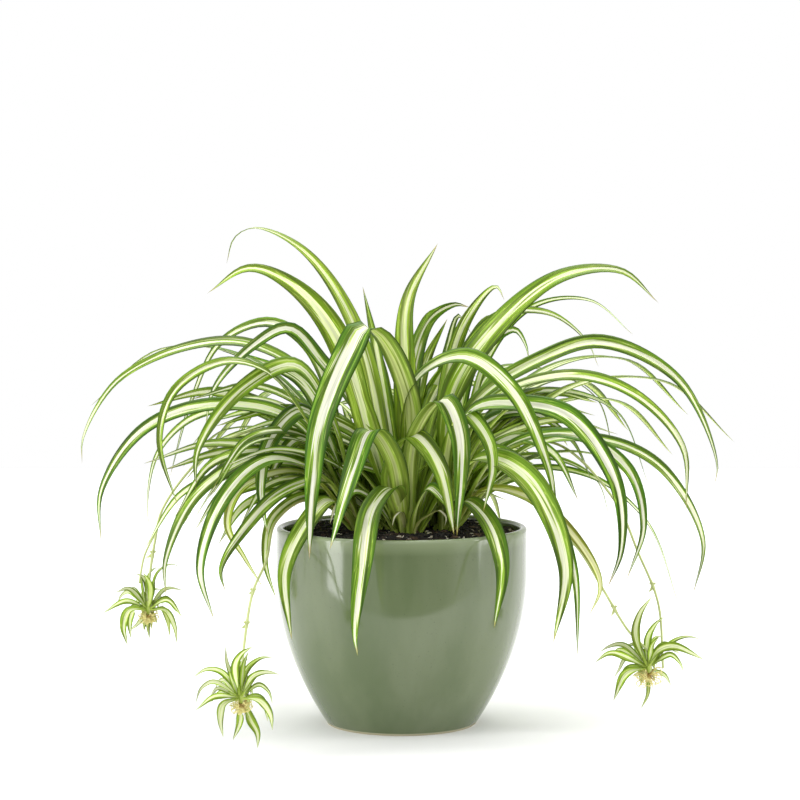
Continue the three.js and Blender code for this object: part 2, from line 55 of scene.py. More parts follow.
# The soil and its crumbs
SOIL_EDGE = 138
SOIL_MIDDLE = 139
SOIL_TOP = {"rows": 44, "sides": 128, "rough": 0.45, "tone": 0.2, "tone_change": 0.12}
CRUMBS = {"count": 1800, "size": (0.8, 2.6), "flat": 0.7, "seed": 11, "tones": (0.0, 0.9)}
SPECKS = {"count": 600, "size": (0.5, 1.4), "flat": 0.9, "seed": 12, "tones": (0.95, 1.0)}
LUMP = {
    "rings": 3, "sides": 6, "steepest": 55, "rough": (0.7, 1.3), "stretch": (0.7, 1.7), "margin": 4,
    "raised": 0.3,
}

# The crowns that the leaves grow from. The leaves' roots lie a little under the soil's top.
CROWNS = {"left": (-25, 2), "centre": (4, -10), "right": (28, 6)}
LEAF_ROOT = 134
ROOT_SPREAD = 7
ROOT_STAGGER = (-7, 7)
CORE = {"radius": 9, "bottom": 126, "top": 145, "rows": 10, "sides": 24}

# The leaves are drawn as an eye in front of the plant sees them. The drawing's zero line lies a
# little above the foot's underside.
EYE = {"distance": 1730, "height": 343}
DRAWING_BASE = 3

# Leaves that show from the front. Each row: crown, greatest width, depth of the tip, lean of the
# upper face to the front in degrees, turn towards the tip in degrees, then the points [x, z] that
# the midrib passes, drawn at the middle of the plant.
DRAWN_LEAVES = [
    ["centre", 17, 25, 60, -60, [-33, 281], [-71, 339], [-106, 355], [-120, 348], [-126, 329]],
    ["centre", 20, -55, 220, -200, [-49, 281], [-85, 318], [-111, 326], [-140, 308]],
    [
        "centre", 25, -95, -15, 50,
        [4, 228], [-16, 277], [-27, 283], [-38, 265], [-58, 217], [-65, 165], [-67, 115],
    ],
    ["centre", 13, 30, 75, 0, [-5, 188], [-18, 267], [-28, 313]],
    ["centre", 20, -20, 80, -10, [3, 250], [5, 304], [26, 344]],
    ["centre", 20, 30, 80, 0, [6, 245], [20, 289], [38, 300], [49, 298]],
    ["right", 15, 45, 75, 0, [31, 231], [46, 288], [68, 313], [74, 303]],
    ["right", 22, -60, 120, -100, [36, 231], [70, 285], [114, 320], [158, 324], [185, 301]],
    ["right", 6, 75, 50, 10, [62, 261], [95, 299], [136, 303], [167, 278]],
    ["right", 10, 35, 50, 0, [44, 260], [70, 292], [106, 294], [133, 274], [142, 255]],
    ["right", 12, 25, 75, 0, [50, 255], [81, 282], [89, 272], [92, 259]],
    ["right", 14, -20, 70, -30, [49, 223], [103, 262], [145, 273], [200, 245], [228, 185], [226, 169]],
    ["right", 13, -70, 30, 10, [60, 226], [120, 249], [167, 236], [203, 197], [206, 151]],
    ["right", 10, 60, 30, 0, [70, 226], [112, 238], [156, 222], [179, 169]],
    ["right", 8, 95, 20, 0, [64, 250], [103, 253], [141, 232], [154, 186]],
    ["right", 16, -110, 45, 10, [49, 222], [92, 228], [123, 218], [155, 171], [159, 122], [149, 94]],
    ["centre", 16, -90, 40, 10, [7, 240], [44, 263], [80, 238], [105, 185], [113, 146]],
    ["right", 19, -125, 30, 15, [50, 186], [72, 188], [99, 165], [119, 109], [110, 54]],
    ["right", 9, -95, 45, 0, [62, 196], [96, 176], [124, 112], [128, 43]],
    ["right", 11, -40, 35, 10, [90, 196], [141, 203], [186, 184], [218, 130], [211, 88]],
    ["right", 12, -80, 30, 10, [74, 196], [124, 206], [164, 181], [175, 140], [163, 100]],
    ["right", 9, 45, 30, 0, [80, 178], [136, 176], [178, 142], [202, 80]],
    ["right", 10, 60, 30, 0, [80, 187], [114, 188], [141, 173], [151, 145]],
    ["right", 11, -65, 30, 0, [59, 165], [93, 160], [130, 126], [144, 96], [136, 74]],
    ["right", 15, -110, 15, 0, [46, 158], [63, 143], [73, 108], [67, 65]],
    ["centre", 17, -78, 25, 0, [-8, 180], [8, 205], [27, 183], [38, 133]],
    ["centre", 18, -88, 20, 0, [11, 207], [30, 231], [42, 205], [40, 132]],
    ["right", 14, -72, 20, 0, [38, 205], [47, 221], [62, 203], [66, 182], [59, 150]],
    ["centre", 21, -105, 0, 0, [-8, 190], [-23, 209], [-35, 181], [-52, 123]],
    ["centre", 18, -145, 0, 0, [-7, 167], [-21, 153], [-29, 108], [-34, 60], [-32, 45]],
    ["left", 14, -105, 30, 0, [-52, 158], [-72, 137], [-85, 105], [-80, 57]],
    ["left", 15, -45, 50, 0, [-55, 205], [-73, 223], [-95, 201], [-102, 169], [-97, 133]],
    ["left", 13, -20, 65, 0, [-52, 190], [-74, 203], [-90, 186], [-100, 159]],
    ["left", 16, -60, 50, -10, [-50, 215], [-77, 256], [-114, 240], [-147, 196], [-149, 164]],
    ["left", 14, -50, 45, 0, [-74, 213], [-132, 228], [-185, 211], [-217, 166], [-218, 128]],
    ["left", 13, 5, 20, 25, [-62, 240], [-108, 271], [-153, 270], [-205, 245], [-230, 204], [-231, 185]],
    ["left", 12, 75, 50, 0, [-70, 242], [-103, 259], [-136, 269]],
    ["left", 11, 45, 40, 10, [-65, 266], [-95, 287], [-130, 273], [-151, 232], [-168, 174]],
    ["left", 10, -80, 30, 10, [-72, 222], [-98, 252], [-128, 259], [-164, 238], [-175, 202], [-161, 151]],
    ["centre", 12, -30, 50, 10, [-28, 215], [-58, 260], [-81, 283], [-105, 272], [-135, 240], [-142, 210]],
    ["left", 15, -60, 30, 0, [-60, 184], [-95, 193], [-147, 164], [-171, 115], [-171, 88]],
    ["left", 14, -90, 30, 0, [-58, 176], [-95, 188], [-126, 164], [-146, 110], [-136, 70]],
    ["left", 13, -75, 30, 0, [-55, 172], [-87, 164], [-114, 137], [-131, 108], [-128, 92]],
    ["left", 10, -55, 20, 0, [-70, 178], [-115, 168], [-126, 141], [-114, 117], [-100, 94]],
    ["left", 12, 60, 45, 0, [-52, 198], [-81, 213], [-107, 204], [-126, 184]],
    ["left", 9, 35, 50, 0, [-90, 222], [-147, 220], [-176, 193], [-184, 150], [-182, 138]],
    ["left", 8, -35, 50, 0, [-66, 162], [-93, 146], [-99, 115], [-91, 86]],
    ["centre", 12, -52, 35, 0, [12, 156], [21, 168], [38, 149]],
    ["centre", 10, -40, 50, 0, [-20, 158], [-34, 165], [-42, 154]],
    ["right", 11, 30, 45, 0, [58, 212], [90, 222], [122, 203], [138, 172]],
    ["right", 11, -30, 45, 0, [58, 190], [84, 204], [110, 192], [128, 158]],
]

# Leaves behind the plant fan out over a range of azimuths in degrees, and each leaf in its heart
# turns on from the last by the golden angle. They leave the crown at the angle rise and bend over
# to the angle end. Their sizes shift by fractions that never bring the same leaf back.
BACK_LEAVES = {
    "count": 22, "azimuth": (16, 164), "length": (190, 330), "rise": (58, 80), "end": -60,
    "width": (13, 20), "lean": (0, 0), "ages": (0.2, 1.0), "seed": 100,
}
HEART_LEAVES = {
    "count": 8, "length": (95, 150), "rise": (68, 84), "end": 20, "width": (8, 12), "lean": (0, 0),
    "ages": (0.0, 0.4), "seed": 200,
}
# Leaves that fill the plant out between those: arching ones at its sides and back, and steep ones
# round each crown
SIDE_FILL = {
    "count": 44, "azimuth": (64, 222), "length": (130, 205), "rise": (48, 82), "end": -75,
    "width": (9, 14), "lean": (15, 60), "ages": (0.0, 0.7), "seed": 300,
}
STEEP_FILL = {
    "count": 72, "azimuth": (12, 208), "length": (110, 215), "rise": (46, 88), "end": -30,
    "width": (11, 16), "lean": (20, 70), "ages": (0.0, 0.5), "seed": 400,
}
# Leaves behind the crowns that show in the gaps between the front ones, drawn as those are
GAP_LEAVES = [
    ["centre", 18, 40, 70, 0, [6, 205], [17, 258], [33, 290]],
    ["centre", 20, 50, 60, 0, [10, 200], [24, 240], [47, 274]],
    ["centre", 14, 40, 60, 0, [-8, 205], [-13, 250], [-22, 284]],
    ["right", 11, 60, 60, 0, [24, 215], [33, 268], [41, 292], [52, 276]],
    ["right", 12, 65, 50, 0, [26, 200], [45, 262], [64, 291], [84, 283]],
    ["centre", 12, 55, 60, 0, [2, 200], [4, 245], [18, 292], [33, 300]],
]
# Short withered leaves at the foot of the crowns, drawn as the front leaves are
WITHERED_LEAVES = [
    ["centre", 5, -42, 0, 0, [13, 143], [20, 148], [27, 151], [32, 146], [31, 139]],
    ["centre", 5, -45, 0, 0, [-1, 150], [-5, 147], [-7, 139]],
    ["left", 7, -35, 0, 0, [-41, 159], [-48, 153], [-52, 141]],
]
# The numbers of front leaves that are yellowing, and how dry they are
YELLOWING = {23: 0.2, 43: 0.15}
# The heights over which the front leaves turn to young ones' paler colours: partly their youth,
# # partly a painted back-light on the top of the plant
YOUTH_AND_BACKLIGHT_HEIGHTS = (290, 345)
# The ages of leaves, from 0 for young to 1 for old, how dry they are, the half width of their stripe
# as a share of the half blade, and the number that starts each set's random draws
STRIPE = {"half": (0.2, 0.4), "offset": (-0.1, 0.1)}
FRONT_LOOKS = {"ages": (0.4, 1.15), "stripe": (0.18, 0.36), "seed": 0}
WITHERED_LOOKS = {"age": 0.6, "dry": 0.12, "stripe": (0.7, 0.8)}
WITHERED_SEED = 50
GAP_LOOKS = {"ages": (0.2, 0.7), "seed": 60}
GOLDEN_ANGLE = 137.508
SHIFT = {
    "azimuth": 0.618, "length": 0.755, "rise": 0.57, "width": 0.382, "depth": 0.618, "lean": 0.31,
    "age": 0.618, "stripe": 0.43, "offset": 0.71,
}
BENDING = {"steps": 20, "steps_to_point": 5, "power": 1.4}
CROWN_SECTORS = {"right": 65, "left": 115}

# A blade's width along its length and how soon it has its lean. Its channel's angles in degrees,
# how round that is at the midrib and how far the margins droop. The waves of its margins. Its
# thickness, and how that thins to the tip and to the edges.
BLADE = {"base": 0.42, "widest": 0.45, "lean_by": 0.4}
CHANNEL = {"tip": 14, "base": 34, "round": 0.03, "droop": 0.16}
WAVE = {"step": (22, 34), "start": (0, 6), "across": 1.5, "height": 0.035}
THICKNESS = {"midrib": 0.8, "thinning": 1.6, "tip": 0.25, "edge": 0.8}
# The dry tip starts at a share of the length and dries over another; the pale foot fades by a
# share of the length.
DRY_TIP = {"from": 0.965, "over": 0.03, "dry": 0.8}
PALE_FOOT = {"level": 0.7, "fade": 0.18}
# How far apart the grain of one leaf or stem lies from the next one's
GRAIN_STEP = {"leaf": 31.7, "stem": 17.3}
FINE = {"rows": 56, "columns": 12, "taper": 1.9}
COARSE = {"rows": 36, "columns": 8, "taper": 1.9}
SMALL = {"rows": 22, "columns": 6, "taper": 1.25}

# The runners, a little slimmer than the solids they replace, stouter at the crown and swollen at
# the nodes. Each row of points: [x, z] as drawn at the middle of the plant, then the depth.
RUNNER = {"radius": 0.92, "slimmer": 0.98, "stouter": 0.12, "sides": 12, "rows": 120, "drop": 5}
NODE = {"length": 3.0, "swelling": 0.45}
BRANCH = {"radius": 0.75, "rows": 24}
GAP = 0.3
RUNNERS = {
    "upper_left": {
        "path": [
            [-28, 136, 2], [-50, 182, 14], [-95, 210, 16], [-136, 196, 6], [-172, 154, 0], [-179, 127, 0],
        ],
        "branch": [[-177, 137, 0], [-186, 119, 1], [-189, 106, 1], [-190, 98, 1]],
        "buds": [0.55, 0.88],
        "baby": "upper_left",
    },
    "lower_left": {
        "path": [
            [-30, 134, -6], [-50, 154, -14], [-72, 158, -24],
            [-91, 143, -36], [-98, 115, -66], [-109, 88, -104],
        ],
        "buds": [0.67, 0.79],
        "baby": "lower_left",
    },
    "right_outer": {
        "path": [
            [30, 136, -2], [62, 168, -10], [99, 153, -18], [128, 123, -28], [147, 92, -34], [164, 64, -38],
        ],
        "buds": [0.55, 0.8],
        "baby": "right",
    },
    "right_inner": {
        "path": [
            [32, 138, 10], [62, 190, 26], [110, 200, 30],
            [153, 160, 26], [172, 119, 20], [186, 84, 16], [190, 36, 12],
        ],
        "buds": [0.6, 0.8],
    },
}
BUD = {
    "count": 5, "radius": 0.7, "length": 3.4, "tilt": 58, "span": (0.06, 0.98), "blunt": 0.8, "rows": 9,
    "sides": 8,
}
BRACT = {
    "reach": 3, "bend": 0.6, "rise": 2.4, "tip_rise": 1.6, "width": 1.8, "edge": 0.1, "flat": 0.3,
    "rows": 12, "sides": 8,
}

# The baby plants: the middle [x, z] as drawn and the depth of each, and its leaves. Each leaf's
# row: its width, how far its tip lies behind the middle, then the points [x, z] that its midrib
# passes, drawn from the middle.
BABIES = {
    "upper_left": {
        "at": [-184, 79, 0],
        "rootlets": 1.0,
        "leaves": [
            [5, 7, [0, 16], [-4, 24], [-9, 26]], [5, -6, [2, 15], [0, 22], [-4, 27]],
            [3, 10, [4, 15], [5, 24]], [2, 7, [7, 27], [17, 33], [25, 30]], [3, 8, [13, 15], [26, 14]],
            [4, -8, [14, 7], [25, -6]], [4, -4, [13, -1], [19, -12], [21, -26]], [3, 6, [0, -13], [1, -22]],
            [6, -8, [-14, -1], [-18, -12], [-15, -27]], [3, 6, [-7, -10], [-14, -16]],
            [4, 4, [-16, 6], [-33, -3]], [4, -6, [-14, 15], [-24, 12]],
            [3, 10, [-14, 13], [-20, 9], [-22, 0]],
        ],
    },
    "lower_left": {
        "at": [-117, 14, -150],
        "rootlets": 1.0,
        "leaves": [
            [3, 8, [-10, 26], [-11, 39]], [6, -6, [-4, 23], [0, 32], [9, 38]], [4, -3, [2, 24], [6, 35]],
            [4, 10, [4, 20], [14, 29], [24, 30]], [4, -6, [9, 16], [19, 19], [29, 17]],
            [3, 6, [13, 10], [20, 5], [23, -4]], [5, -8, [14, -2], [21, -11], [23, -24]],
            [6, 4, [7, -16], [12, -26], [12, -37]], [5, 6, [-1, -18], [-6, -31]],
            [5, -5, [-13, -5], [-15, -16], [-13, -29]], [4, -8, [-19, 1], [-33, -9]],
            [3, 6, [-17, 7], [-23, -1]], [3, -4, [-20, 12], [-29, 7], [-33, -4]],
            [4, 8, [-14, 19], [-25, 21], [-35, 15]],
        ],
    },
    "right": {
        "at": [179, 36, -40],
        "rootlets": 1.5,
        "leaves": [
            [6, -4, [-9, 24], [-6, 40], [3, 53]], [5, 6, [0, 22], [5, 32], [12, 38]],
            [4, -6, [3, 17], [8, 23]], [3, 10, [17, 19], [28, 23], [39, 21]],
            [6, -6, [8, 13], [19, 16], [41, 6]], [4, 8, [16, 10], [23, 4], [26, -3]],
            [3, 4, [12, -5], [17, -13]], [3, 6, [0, -19], [-5, -30]], [6, -8, [-16, -4], [-25, -24]],
            [3, 6, [-16, 7], [-21, -1], [-25, -8]], [5, -6, [-27, 11], [-39, 4]],
            [4, 5, [-18, 17], [-28, 16], [-36, 11]],
        ],
    },
}
BABY_CORE = {"radius": 3.2, "top": 6, "bottom": -3.5, "root": 1.8, "side": 3}
BABY_BLADE = {
    "facing": 0.85, "flip": 120, "wider": 1.16, "ages": (0.0, 0.2), "stripe": (0.4, 0.56), "seed": 500,
}
# For each leaf drawn on a baby plant there are these: the share of its length and its turn about
# the plant in radians. A steep leaf has only the first.
BABY_LEAVES = ((1.0, 0.0), (0.88, 0.9), (0.7, 1.7))
ROOT_NUBS = {"count": 4, "length": (4, 7), "radius": 1.0, "splay": 12, "turn": 120, "drop": 0.9}
ROOTLETS = {"count": 44, "length": (8, 13), "radius": 0.38, "splay": (20, 115), "curl": 5.5}

# The leaf's colours from the midrib out to the margin: the stripe, its bright border, the green
# with a fine pale line in it, and the darker margin. First the places along half the blade's
# width, then the colours there on a young leaf, on an older one and on the underside.
LEAF_PLACES = (0.0, 0.05, 0.33, 0.4, 0.46, 0.6, 0.64, 0.68, 0.9, 1.0)
YOUNG = (
    "#e0e9b0", "#f6f9d6", "#eef3c2", "#cfdc80", "#9cb83a", "#8aa72c", "#b8c658", "#80991e", "#708c18",
    "#61800e",
)
OLDER = (
    "#efeee2", "#fcfaf4", "#f4f5e2", "#b8ca6a", "#739628", "#598214", "#9ab44a", "#4e790c", "#416c08",
    "#365f04",
)
UNDERSIDE = (
    "#cdd68e", "#d8e09c", "#cfd98f", "#bccb6c", "#a0b54e", "#93aa42", "#aebf5c", "#88a038", "#7a9430",
    "#6b8829",
)

# The stage in metres: the table's reach; the lights' place, aim, size and power in watts, a large
# one above and behind the plant and tall ones at its sides that the glaze mirrors; the camera, with
# its tilt in degrees and its lens in millimetres; and the dark of the room in front, as a direction,
# the cosines of its edges and its level
STAGE = {"near": -0.3, "far": 2.0, "side": 5.0}
LIGHTS = {
    "top_light": ((-0.06, 0.7, 2.1), (0, 0, 0.15), (1.6, 1.6), 34),
    "left_light": ((-1.78, -0.95, 0.45), (0, 0, 0.12), (0.6, 2.4), 26),
    "right_light": ((2.1, -0.35, 0.45), (0, 0, 0.12), (0.6, 2.4), 20),
}
CAMERA = {"x": -0.0012, "tilt": 3.6, "sensor": 36, "lens": 108.1}
DARK_ROOM = {"way": (0.27, -0.95, -0.15), "edge": 0.77, "full": 0.9, "level": 0.22}


# Colours and nodes

def linear(hex_colour):
    """A colour given as sRGB hex, turned to the linear values that a shader takes."""
    part = np.array([int(hex_colour[i:i + 2], 16) for i in (1, 3, 5)]) / 255
    value = np.where(part <= 0.04045, part / 12.92, ((part + 0.055) / 1.055) ** 2.4)
    return (*value.tolist(), 1.0)


def add(tree, kind, settings=None, **inputs):
    """Adds a node of a kind given without its prefix. Settings go on the node. An input is a value or
    the socket that feeds it, and is named by its label, with _ for a space, or by i and its number."""
    made = tree.nodes.new("ShaderNode" + kind)
    for name, value in (settings or {}).items():
        setattr(made, name, value)
    for name, value in inputs.items():
        key = int(name[1:]) if name[1:].isdigit() else name.replace("_", " ")
        if isinstance(value, bpy.types.NodeSocket):
            tree.links.new(value, made.inputs[key])
        else:
            made.inputs[key].default_value = value
    return made


def ramp(tree, place, stops):
    """The colour at a place on a ramp, whose stops are each a place and an sRGB hex colour."""
    made = add(tree, "ValToRGB", Fac=place)
    elements = made.color_ramp.elements
    while len(elements) < len(stops):
        elements.new(1.0)
    for element, (position, colour) in zip(elements, stops):
        element.position = position
        element.color = linear(colour)
    return made.outputs["Color"]


def new_material(name):
    """A material without any nodes, and its node tree."""
    material = bpy.data.materials.new(name)
    material.use_nodes = True
    material.node_tree.nodes.clear()
    return material, material.node_tree


def finished(material, shader):
    """The material, with the shader joined to its output."""
    add(material.node_tree, "OutputMaterial", Surface=shader.outputs[0])
    return material


def attribute(tree, name, output="Fac"):
    return add(tree, "Attribute", {"attribute_name": name}).outputs[output]


def noise(tree, place, scale, detail):
    return add(tree, "TexNoise", Vector=place, Scale=scale, Detail=detail).outputs["Fac"]


def ranged(tree, value, source, target=(0.0, 1.0), kind="LINEAR"):
    """A value taken from one range to another and held within it."""
    (i1, i2), (i3, i4) = source, target
    settings = {"interpolation_type": kind}
    return add(tree, "MapRange", settings, Value=value, i1=i1, i2=i2, i3=i3, i4=i4).outputs[0]


def bumped(tree, height, strength, distance):
    return add(tree, "Bump", Height=height, Strength=strength, Distance=distance).outputs[0]


def maths(tree, operation, *values):
    inputs = {f"i{number}": value for number, value in enumerate(values)}
    return add(tree, "Math", {"operation": operation}, **inputs).outputs[0]


# Materials

def blended(tree, share, first, second, kind="MIX"):
    """Two colours mixed by a share, or multiplied."""
    settings = {"data_type": "RGBA", "blend_type": kind}
    return add(tree, "Mix", settings, i0=share, i6=first, i7=second).outputs[2]


def leaf_colour(tree, lines, veins):
    """The blade's colours: the stripe and the greens, broken up by lines along the blade and darker
    in veins, then paler below and at the foot, and straw where it is dry."""
    band, age, under, base, dry = (
        attribute(tree, name) for name in ("band", "age", "under", "base", "dry")
    )
    centred = maths(tree, "SUBTRACT", maths(tree, "MULTIPLY_ADD", lines, 1.54, band), 0.77)
    young, older, below = (
        ramp(tree, centred, list(zip(LEAF_PLACES, colours))) for colours in (YOUNG, OLDER, UNDERSIDE)
    )
    # On the front leaves, age also holds a painted back-light: the higher ones take the paler young
    # colours.
    faced = blended(tree, under, blended(tree, age, young, older), below)
    tone = ranged(tree, veins, (0.38, 0.62), (0.66, 1.62))
    strength = ranged(tree, centred, (0.25, 0.5), (0.35, 1.0))
    lined = blended(tree, strength, faced, tone, "MULTIPLY")
    based = blended(tree, base, lined, linear("#c2d65c"))
    return blended(tree, dry, based, linear("#c9a653"))


def variegated_leaf():
    """Living leaf of the striped kind, waxy on top: a satin green blade with a cream stripe, fine
    lines along it, a paler underside, and a little light that comes through."""
    material, tree = new_material("variegated_leaf")
    grain = attribute(tree, "grain", "Vector")
    stretched = add(tree, "Mapping", i0=grain, Scale=(1.0, 0.03, 1.0)).outputs[0]
    veins = noise(tree, stretched, 0.42, 3.0)
    colour = leaf_colour(tree, noise(tree, stretched, 0.55, 2.0), veins)
    bump = bumped(tree, veins, 0.35, 0.0003)
    satin = add(
        tree, "BsdfPrincipled",
        Base_Color=colour, Roughness=0.4, IOR=1.42, Specular_IOR_Level=0.45, Normal=bump,
    )
    glow = add(tree, "BsdfTranslucent", Color=colour, Normal=bump)
    both = add(tree, "MixShader", Fac=0.38, i1=satin.outputs[0], i2=glow.outputs[0])
    return finished(material, both)


def sage_glaze():
    """Stoneware under a glossy sage green glaze, dipped and fired: deep reflections, faint streaks
    where the glaze ran down, a slight waviness, a paler band at and under the lip, partly glaze
    that lies thin there and partly a painted highlight, and bare fired clay at the foot."""
    material, tree = new_material("glazed_stoneware")
    place = add(tree, "TexCoord").outputs["Object"]
    height = add(tree, "SeparateXYZ", Vector=place).outputs["Z"]
    run = add(tree, "Mapping", i0=place, Scale=(1.0, 1.0, 0.3)).outputs[0]
    glaze = ramp(tree, noise(tree, run, 22.0, 4.0), [(0.35, "#586643"), (0.65, "#6a7556")])
    fleck = ranged(tree, noise(tree, place, 900.0, 1.0), (0.7, 0.78))
    flecked = blended(tree, fleck, glaze, linear("#566145"))
    # Paler glaze from just under the lip over its top: partly glaze that lies thin, partly a painted
    # highlight on the lip.
    thin = ranged(tree, height, (0.132, 0.1425))
    broken = blended(tree, thin, flecked, linear("#818d6b"))
    bare = ranged(tree, height, (0.0019, 0.0015))
    colour = blended(tree, bare, broken, linear("#a8a286"))
    rough = ranged(tree, bare, (0.0, 1.0), (0.12, 0.75))
    bump = bumped(tree, noise(tree, place, 35.0, 1.0), 0.12, 0.001)
    shader = add(tree, "BsdfPrincipled", Base_Color=colour, Roughness=rough, IOR=1.58, Normal=bump)
    return finished(material, shader)


def mottled(material, tone, stops, texture, shades, relief, rough):
    """The material, coloured by a ramp over its tone, and shaded by a texture that is its relief as
    well, of a strength and a depth in metres."""
    tree = material.node_tree
    shade = ranged(tree, texture, (0.3, 0.7), shades)
    colour = blended(tree, 1.0, ramp(tree, tone, stops), shade, "MULTIPLY")
    bump = bumped(tree, texture, *relief)
    return finished(material, add(tree, "BsdfPrincipled", Base_Color=colour, Roughness=rough, Normal=bump))


def potting_mix():
    """Damp peat and composted bark: near-black brown crumbs with reddish ones and pale specks."""
    material, tree = new_material("peat_and_bark")
    crumb = noise(tree, add(tree, "TexCoord").outputs["Object"], 700.0, 4.0)
    stops = [(0.0, "#0e0b08"), (0.6, "#1b1410"), (0.8, "#33241a"), (0.92, "#6b5540"), (1.0, "#efe7d4")]
    return mottled(material, attribute(tree, "tone"), stops, crumb, (0.6, 1.25), (0.7, 0.0006), 0.92)


def fleshy_stem(name, near, far, rough):
    """Living stem or root flesh, smooth and a little waxy, that changes colour along its length,
    with fine streaks along it."""
    material, tree = new_material(name)
    grain = attribute(tree, "grain", "Vector")
    stretched = add(tree, "Mapping", i0=grain, Scale=(1.0, 0.08, 1.0)).outputs[0]
    streak = noise(tree, stretched, 1.6, 2.0)
    stops = [(0.0, near), (0.45, far), (1.0, far)]
    return mottled(material, attribute(tree, "along"), stops, streak, (0.82, 1.1), (0.3, 0.0002), rough)


def studio_white():
    """Matt white studio paper, for the floor."""
    material, tree = new_material("studio_paper")
    shader = add(tree, "BsdfPrincipled", Base_Color=linear("#fbfbfb"), Roughness=0.9)
    return finished(material, shader)


# Meshes

def spread(bounds, number, step):
    """A value between two bounds that shifts by a different fraction at each number."""
    low, high = bounds
    return low + (high - low) * ((number * step) % 1)


def around(sides):
    """The angles of places round a circle, in radians."""
    return np.linspace(0, 2 * np.pi, sides, endpoint=False)


def unit(vectors):
    return vectors / np.linalg.norm(vectors, axis=-1, keepdims=True)


def tilted(tilt, turn):
    """The direction tilted from straight up towards a turn about the vertical, in radians."""
    return np.array([np.sin(tilt) * np.cos(turn), np.sin(tilt) * np.sin(turn), np.cos(tilt)])


def distances(path):
    """How far along a path each of its points lies."""
    return np.concatenate([[0], np.cumsum(np.linalg.norm(np.diff(path, axis=0), axis=1))])


def turned(profile, sides):
    """Rings of a profile of radius and height turned about the vertical axis."""
    turn = around(sides)[None]
    radius, height = profile[:, :1], profile[:, 1:]
    return np.stack([radius * np.cos(turn), radius * np.sin(turn), height + 0 * turn], 2)


def placed(name, data):
    """An object with that data, put in the scene."""
    made = bpy.data.objects.new(name, data)
    bpy.context.scene.collection.objects.link(made)
    return made


def joined(parts):
    """Parts of a mesh, each its points, triangles and attributes, put together as one."""
    starts = np.cumsum([0] + [len(part["points"]) for part in parts[:-1]])
    whole = {"points": np.vstack([part["points"] for part in parts])}
    whole["triangles"] = np.vstack([p["triangles"] + start for p, start in zip(parts, starts)])
    for name in parts[0]["values"]:
        whole.setdefault("values", {})[name] = np.concatenate([p["values"][name] for p in parts])
    return whole


def skin(rings, first, last, values):
    """A closed surface over rings of points, an array of rows by places round the ring by three.
    Neighbouring rings are joined by triangles and each end is closed by a fan to its own point.
    values holds an array of rows by places for each attribute; an end point takes its ring's mean."""
    rows, places = rings.shape[:2]
    points = np.vstack([rings.reshape(-1, 3), [first], [last]])
    here = np.arange(rows * places).reshape(rows, places)
    beside = np.roll(here, -1, axis=1)
    a, b, c, d = here[:-1].ravel(), beside[:-1].ravel(), beside[1:].ravel(), here[1:].ravel()
    sides = np.vstack([np.stack([a, b, c], 1), np.stack([a, c, d], 1)])
    start, end = rows * places, rows * places + 1
    near = np.stack([beside[0], here[0], np.full(places, start)], 1)
    far = np.stack([here[-1], beside[-1], np.full(places, end)], 1)
    triangles = np.vstack([sides, near, far])
    corner = points[triangles]
    volume = np.einsum("ij,ij->", corner[:, 0], np.cross(corner[:, 1], corner[:, 2]))
    if volume < 0:
        triangles = triangles[:, ::-1]
    full = {}
    for name, value in values.items():
        flat = value.reshape(rows * places, -1)
        ends = np.stack([value[0].reshape(places, -1).mean(0), value[-1].reshape(places, -1).mean(0)])
        full[name] = np.squeeze(np.vstack([flat, ends]))
    return {"points": points, "triangles": triangles, "values": full}


def make_piece(name, mesh_data, material, body="root", smooth=True):
    """Puts points in millimetres, triangles and attributes into a mesh object of that name."""
    mesh = bpy.data.meshes.new(name)
    mesh.from_pydata((mesh_data["points"] * MM).tolist(), [], mesh_data["triangles"].tolist())
    for label, value in mesh_data["values"].items():
        kind, field = ("FLOAT_VECTOR", "vector") if value.ndim == 2 else ("FLOAT", "value")
        made = mesh.attributes.new(label, kind, "POINT")
        made.data.foreach_set(field, value.astype(np.float32).ravel())
    mesh.polygons.foreach_set("use_smooth", np.full(len(mesh.polygons), smooth))
    mesh.materials.append(material)
    mesh.update()
    piece = placed(name, mesh)
    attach(piece, body)
    return piece


def smooth_path(points, count):
    """A centripetal Catmull-Rom curve through the points, as count points at equal steps of its
    length: each span is a cubic whose end slopes weigh its neighbours by the roots of the spans."""
    p = np.asarray(points, float)
    p = np.vstack([2 * p[0] - p[1], p, 2 * p[-1] - p[-2]])
    root = np.sqrt(np.linalg.norm(np.diff(p, axis=0), axis=1))[:, None]
    before, span, after = root[:-2], root[1:-1], root[2:]
    p0, p1, p2, p3 = p[:-3], p[1:-2], p[2:-1], p[3:]
    leave = ((p1 - p0) / before - (p2 - p0) / (before + span)) * span + p2 - p1
    arrive = ((p3 - p2) / after - (p3 - p1) / (span + after)) * span + p2 - p1
    t = np.linspace(0, 1, 33)[None, :-1, None]
    start, end = (2 * t**3 - 3 * t**2 + 1), (3 * t**2 - 2 * t**3)
    fine = start * p1[:, None] + end * p2[:, None]
    fine = fine + (t**3 - 2 * t**2 + t) * leave[:, None] + (t**3 - t**2) * arrive[:, None]
    fine = np.vstack([fine.reshape(-1, 3), p2[-1:]])
    length = distances(fine)
    at = np.linspace(0, length[-1], count)
    return np.stack([np.interp(at, length, fine[:, axis]) for axis in range(3)], 1), length[-1]


def directions(path):
    """Unit vectors along a path of points."""
    return unit(np.gradient(path, axis=0))


# Leaves

def at_depth(x, z, y):
    """A point drawn in the front elevation, moved along the eye's line of sight to depth y."""
    k = 1 + y / EYE["distance"]
    return np.array([x * k, y, EYE["height"] + (z + DRAWING_BASE - EYE["height"]) * k])


def leaf_root(crown, azimuth, number):
    """Where a leaf leaves its crown: on a small circle, and staggered in depth."""
    x, y = CROWNS[crown]
    stagger = spread(ROOT_STAGGER, number, SHIFT["depth"])
    return x + ROOT_SPREAD * np.cos(azimuth), y + ROOT_SPREAD * np.sin(azimuth) + stagger


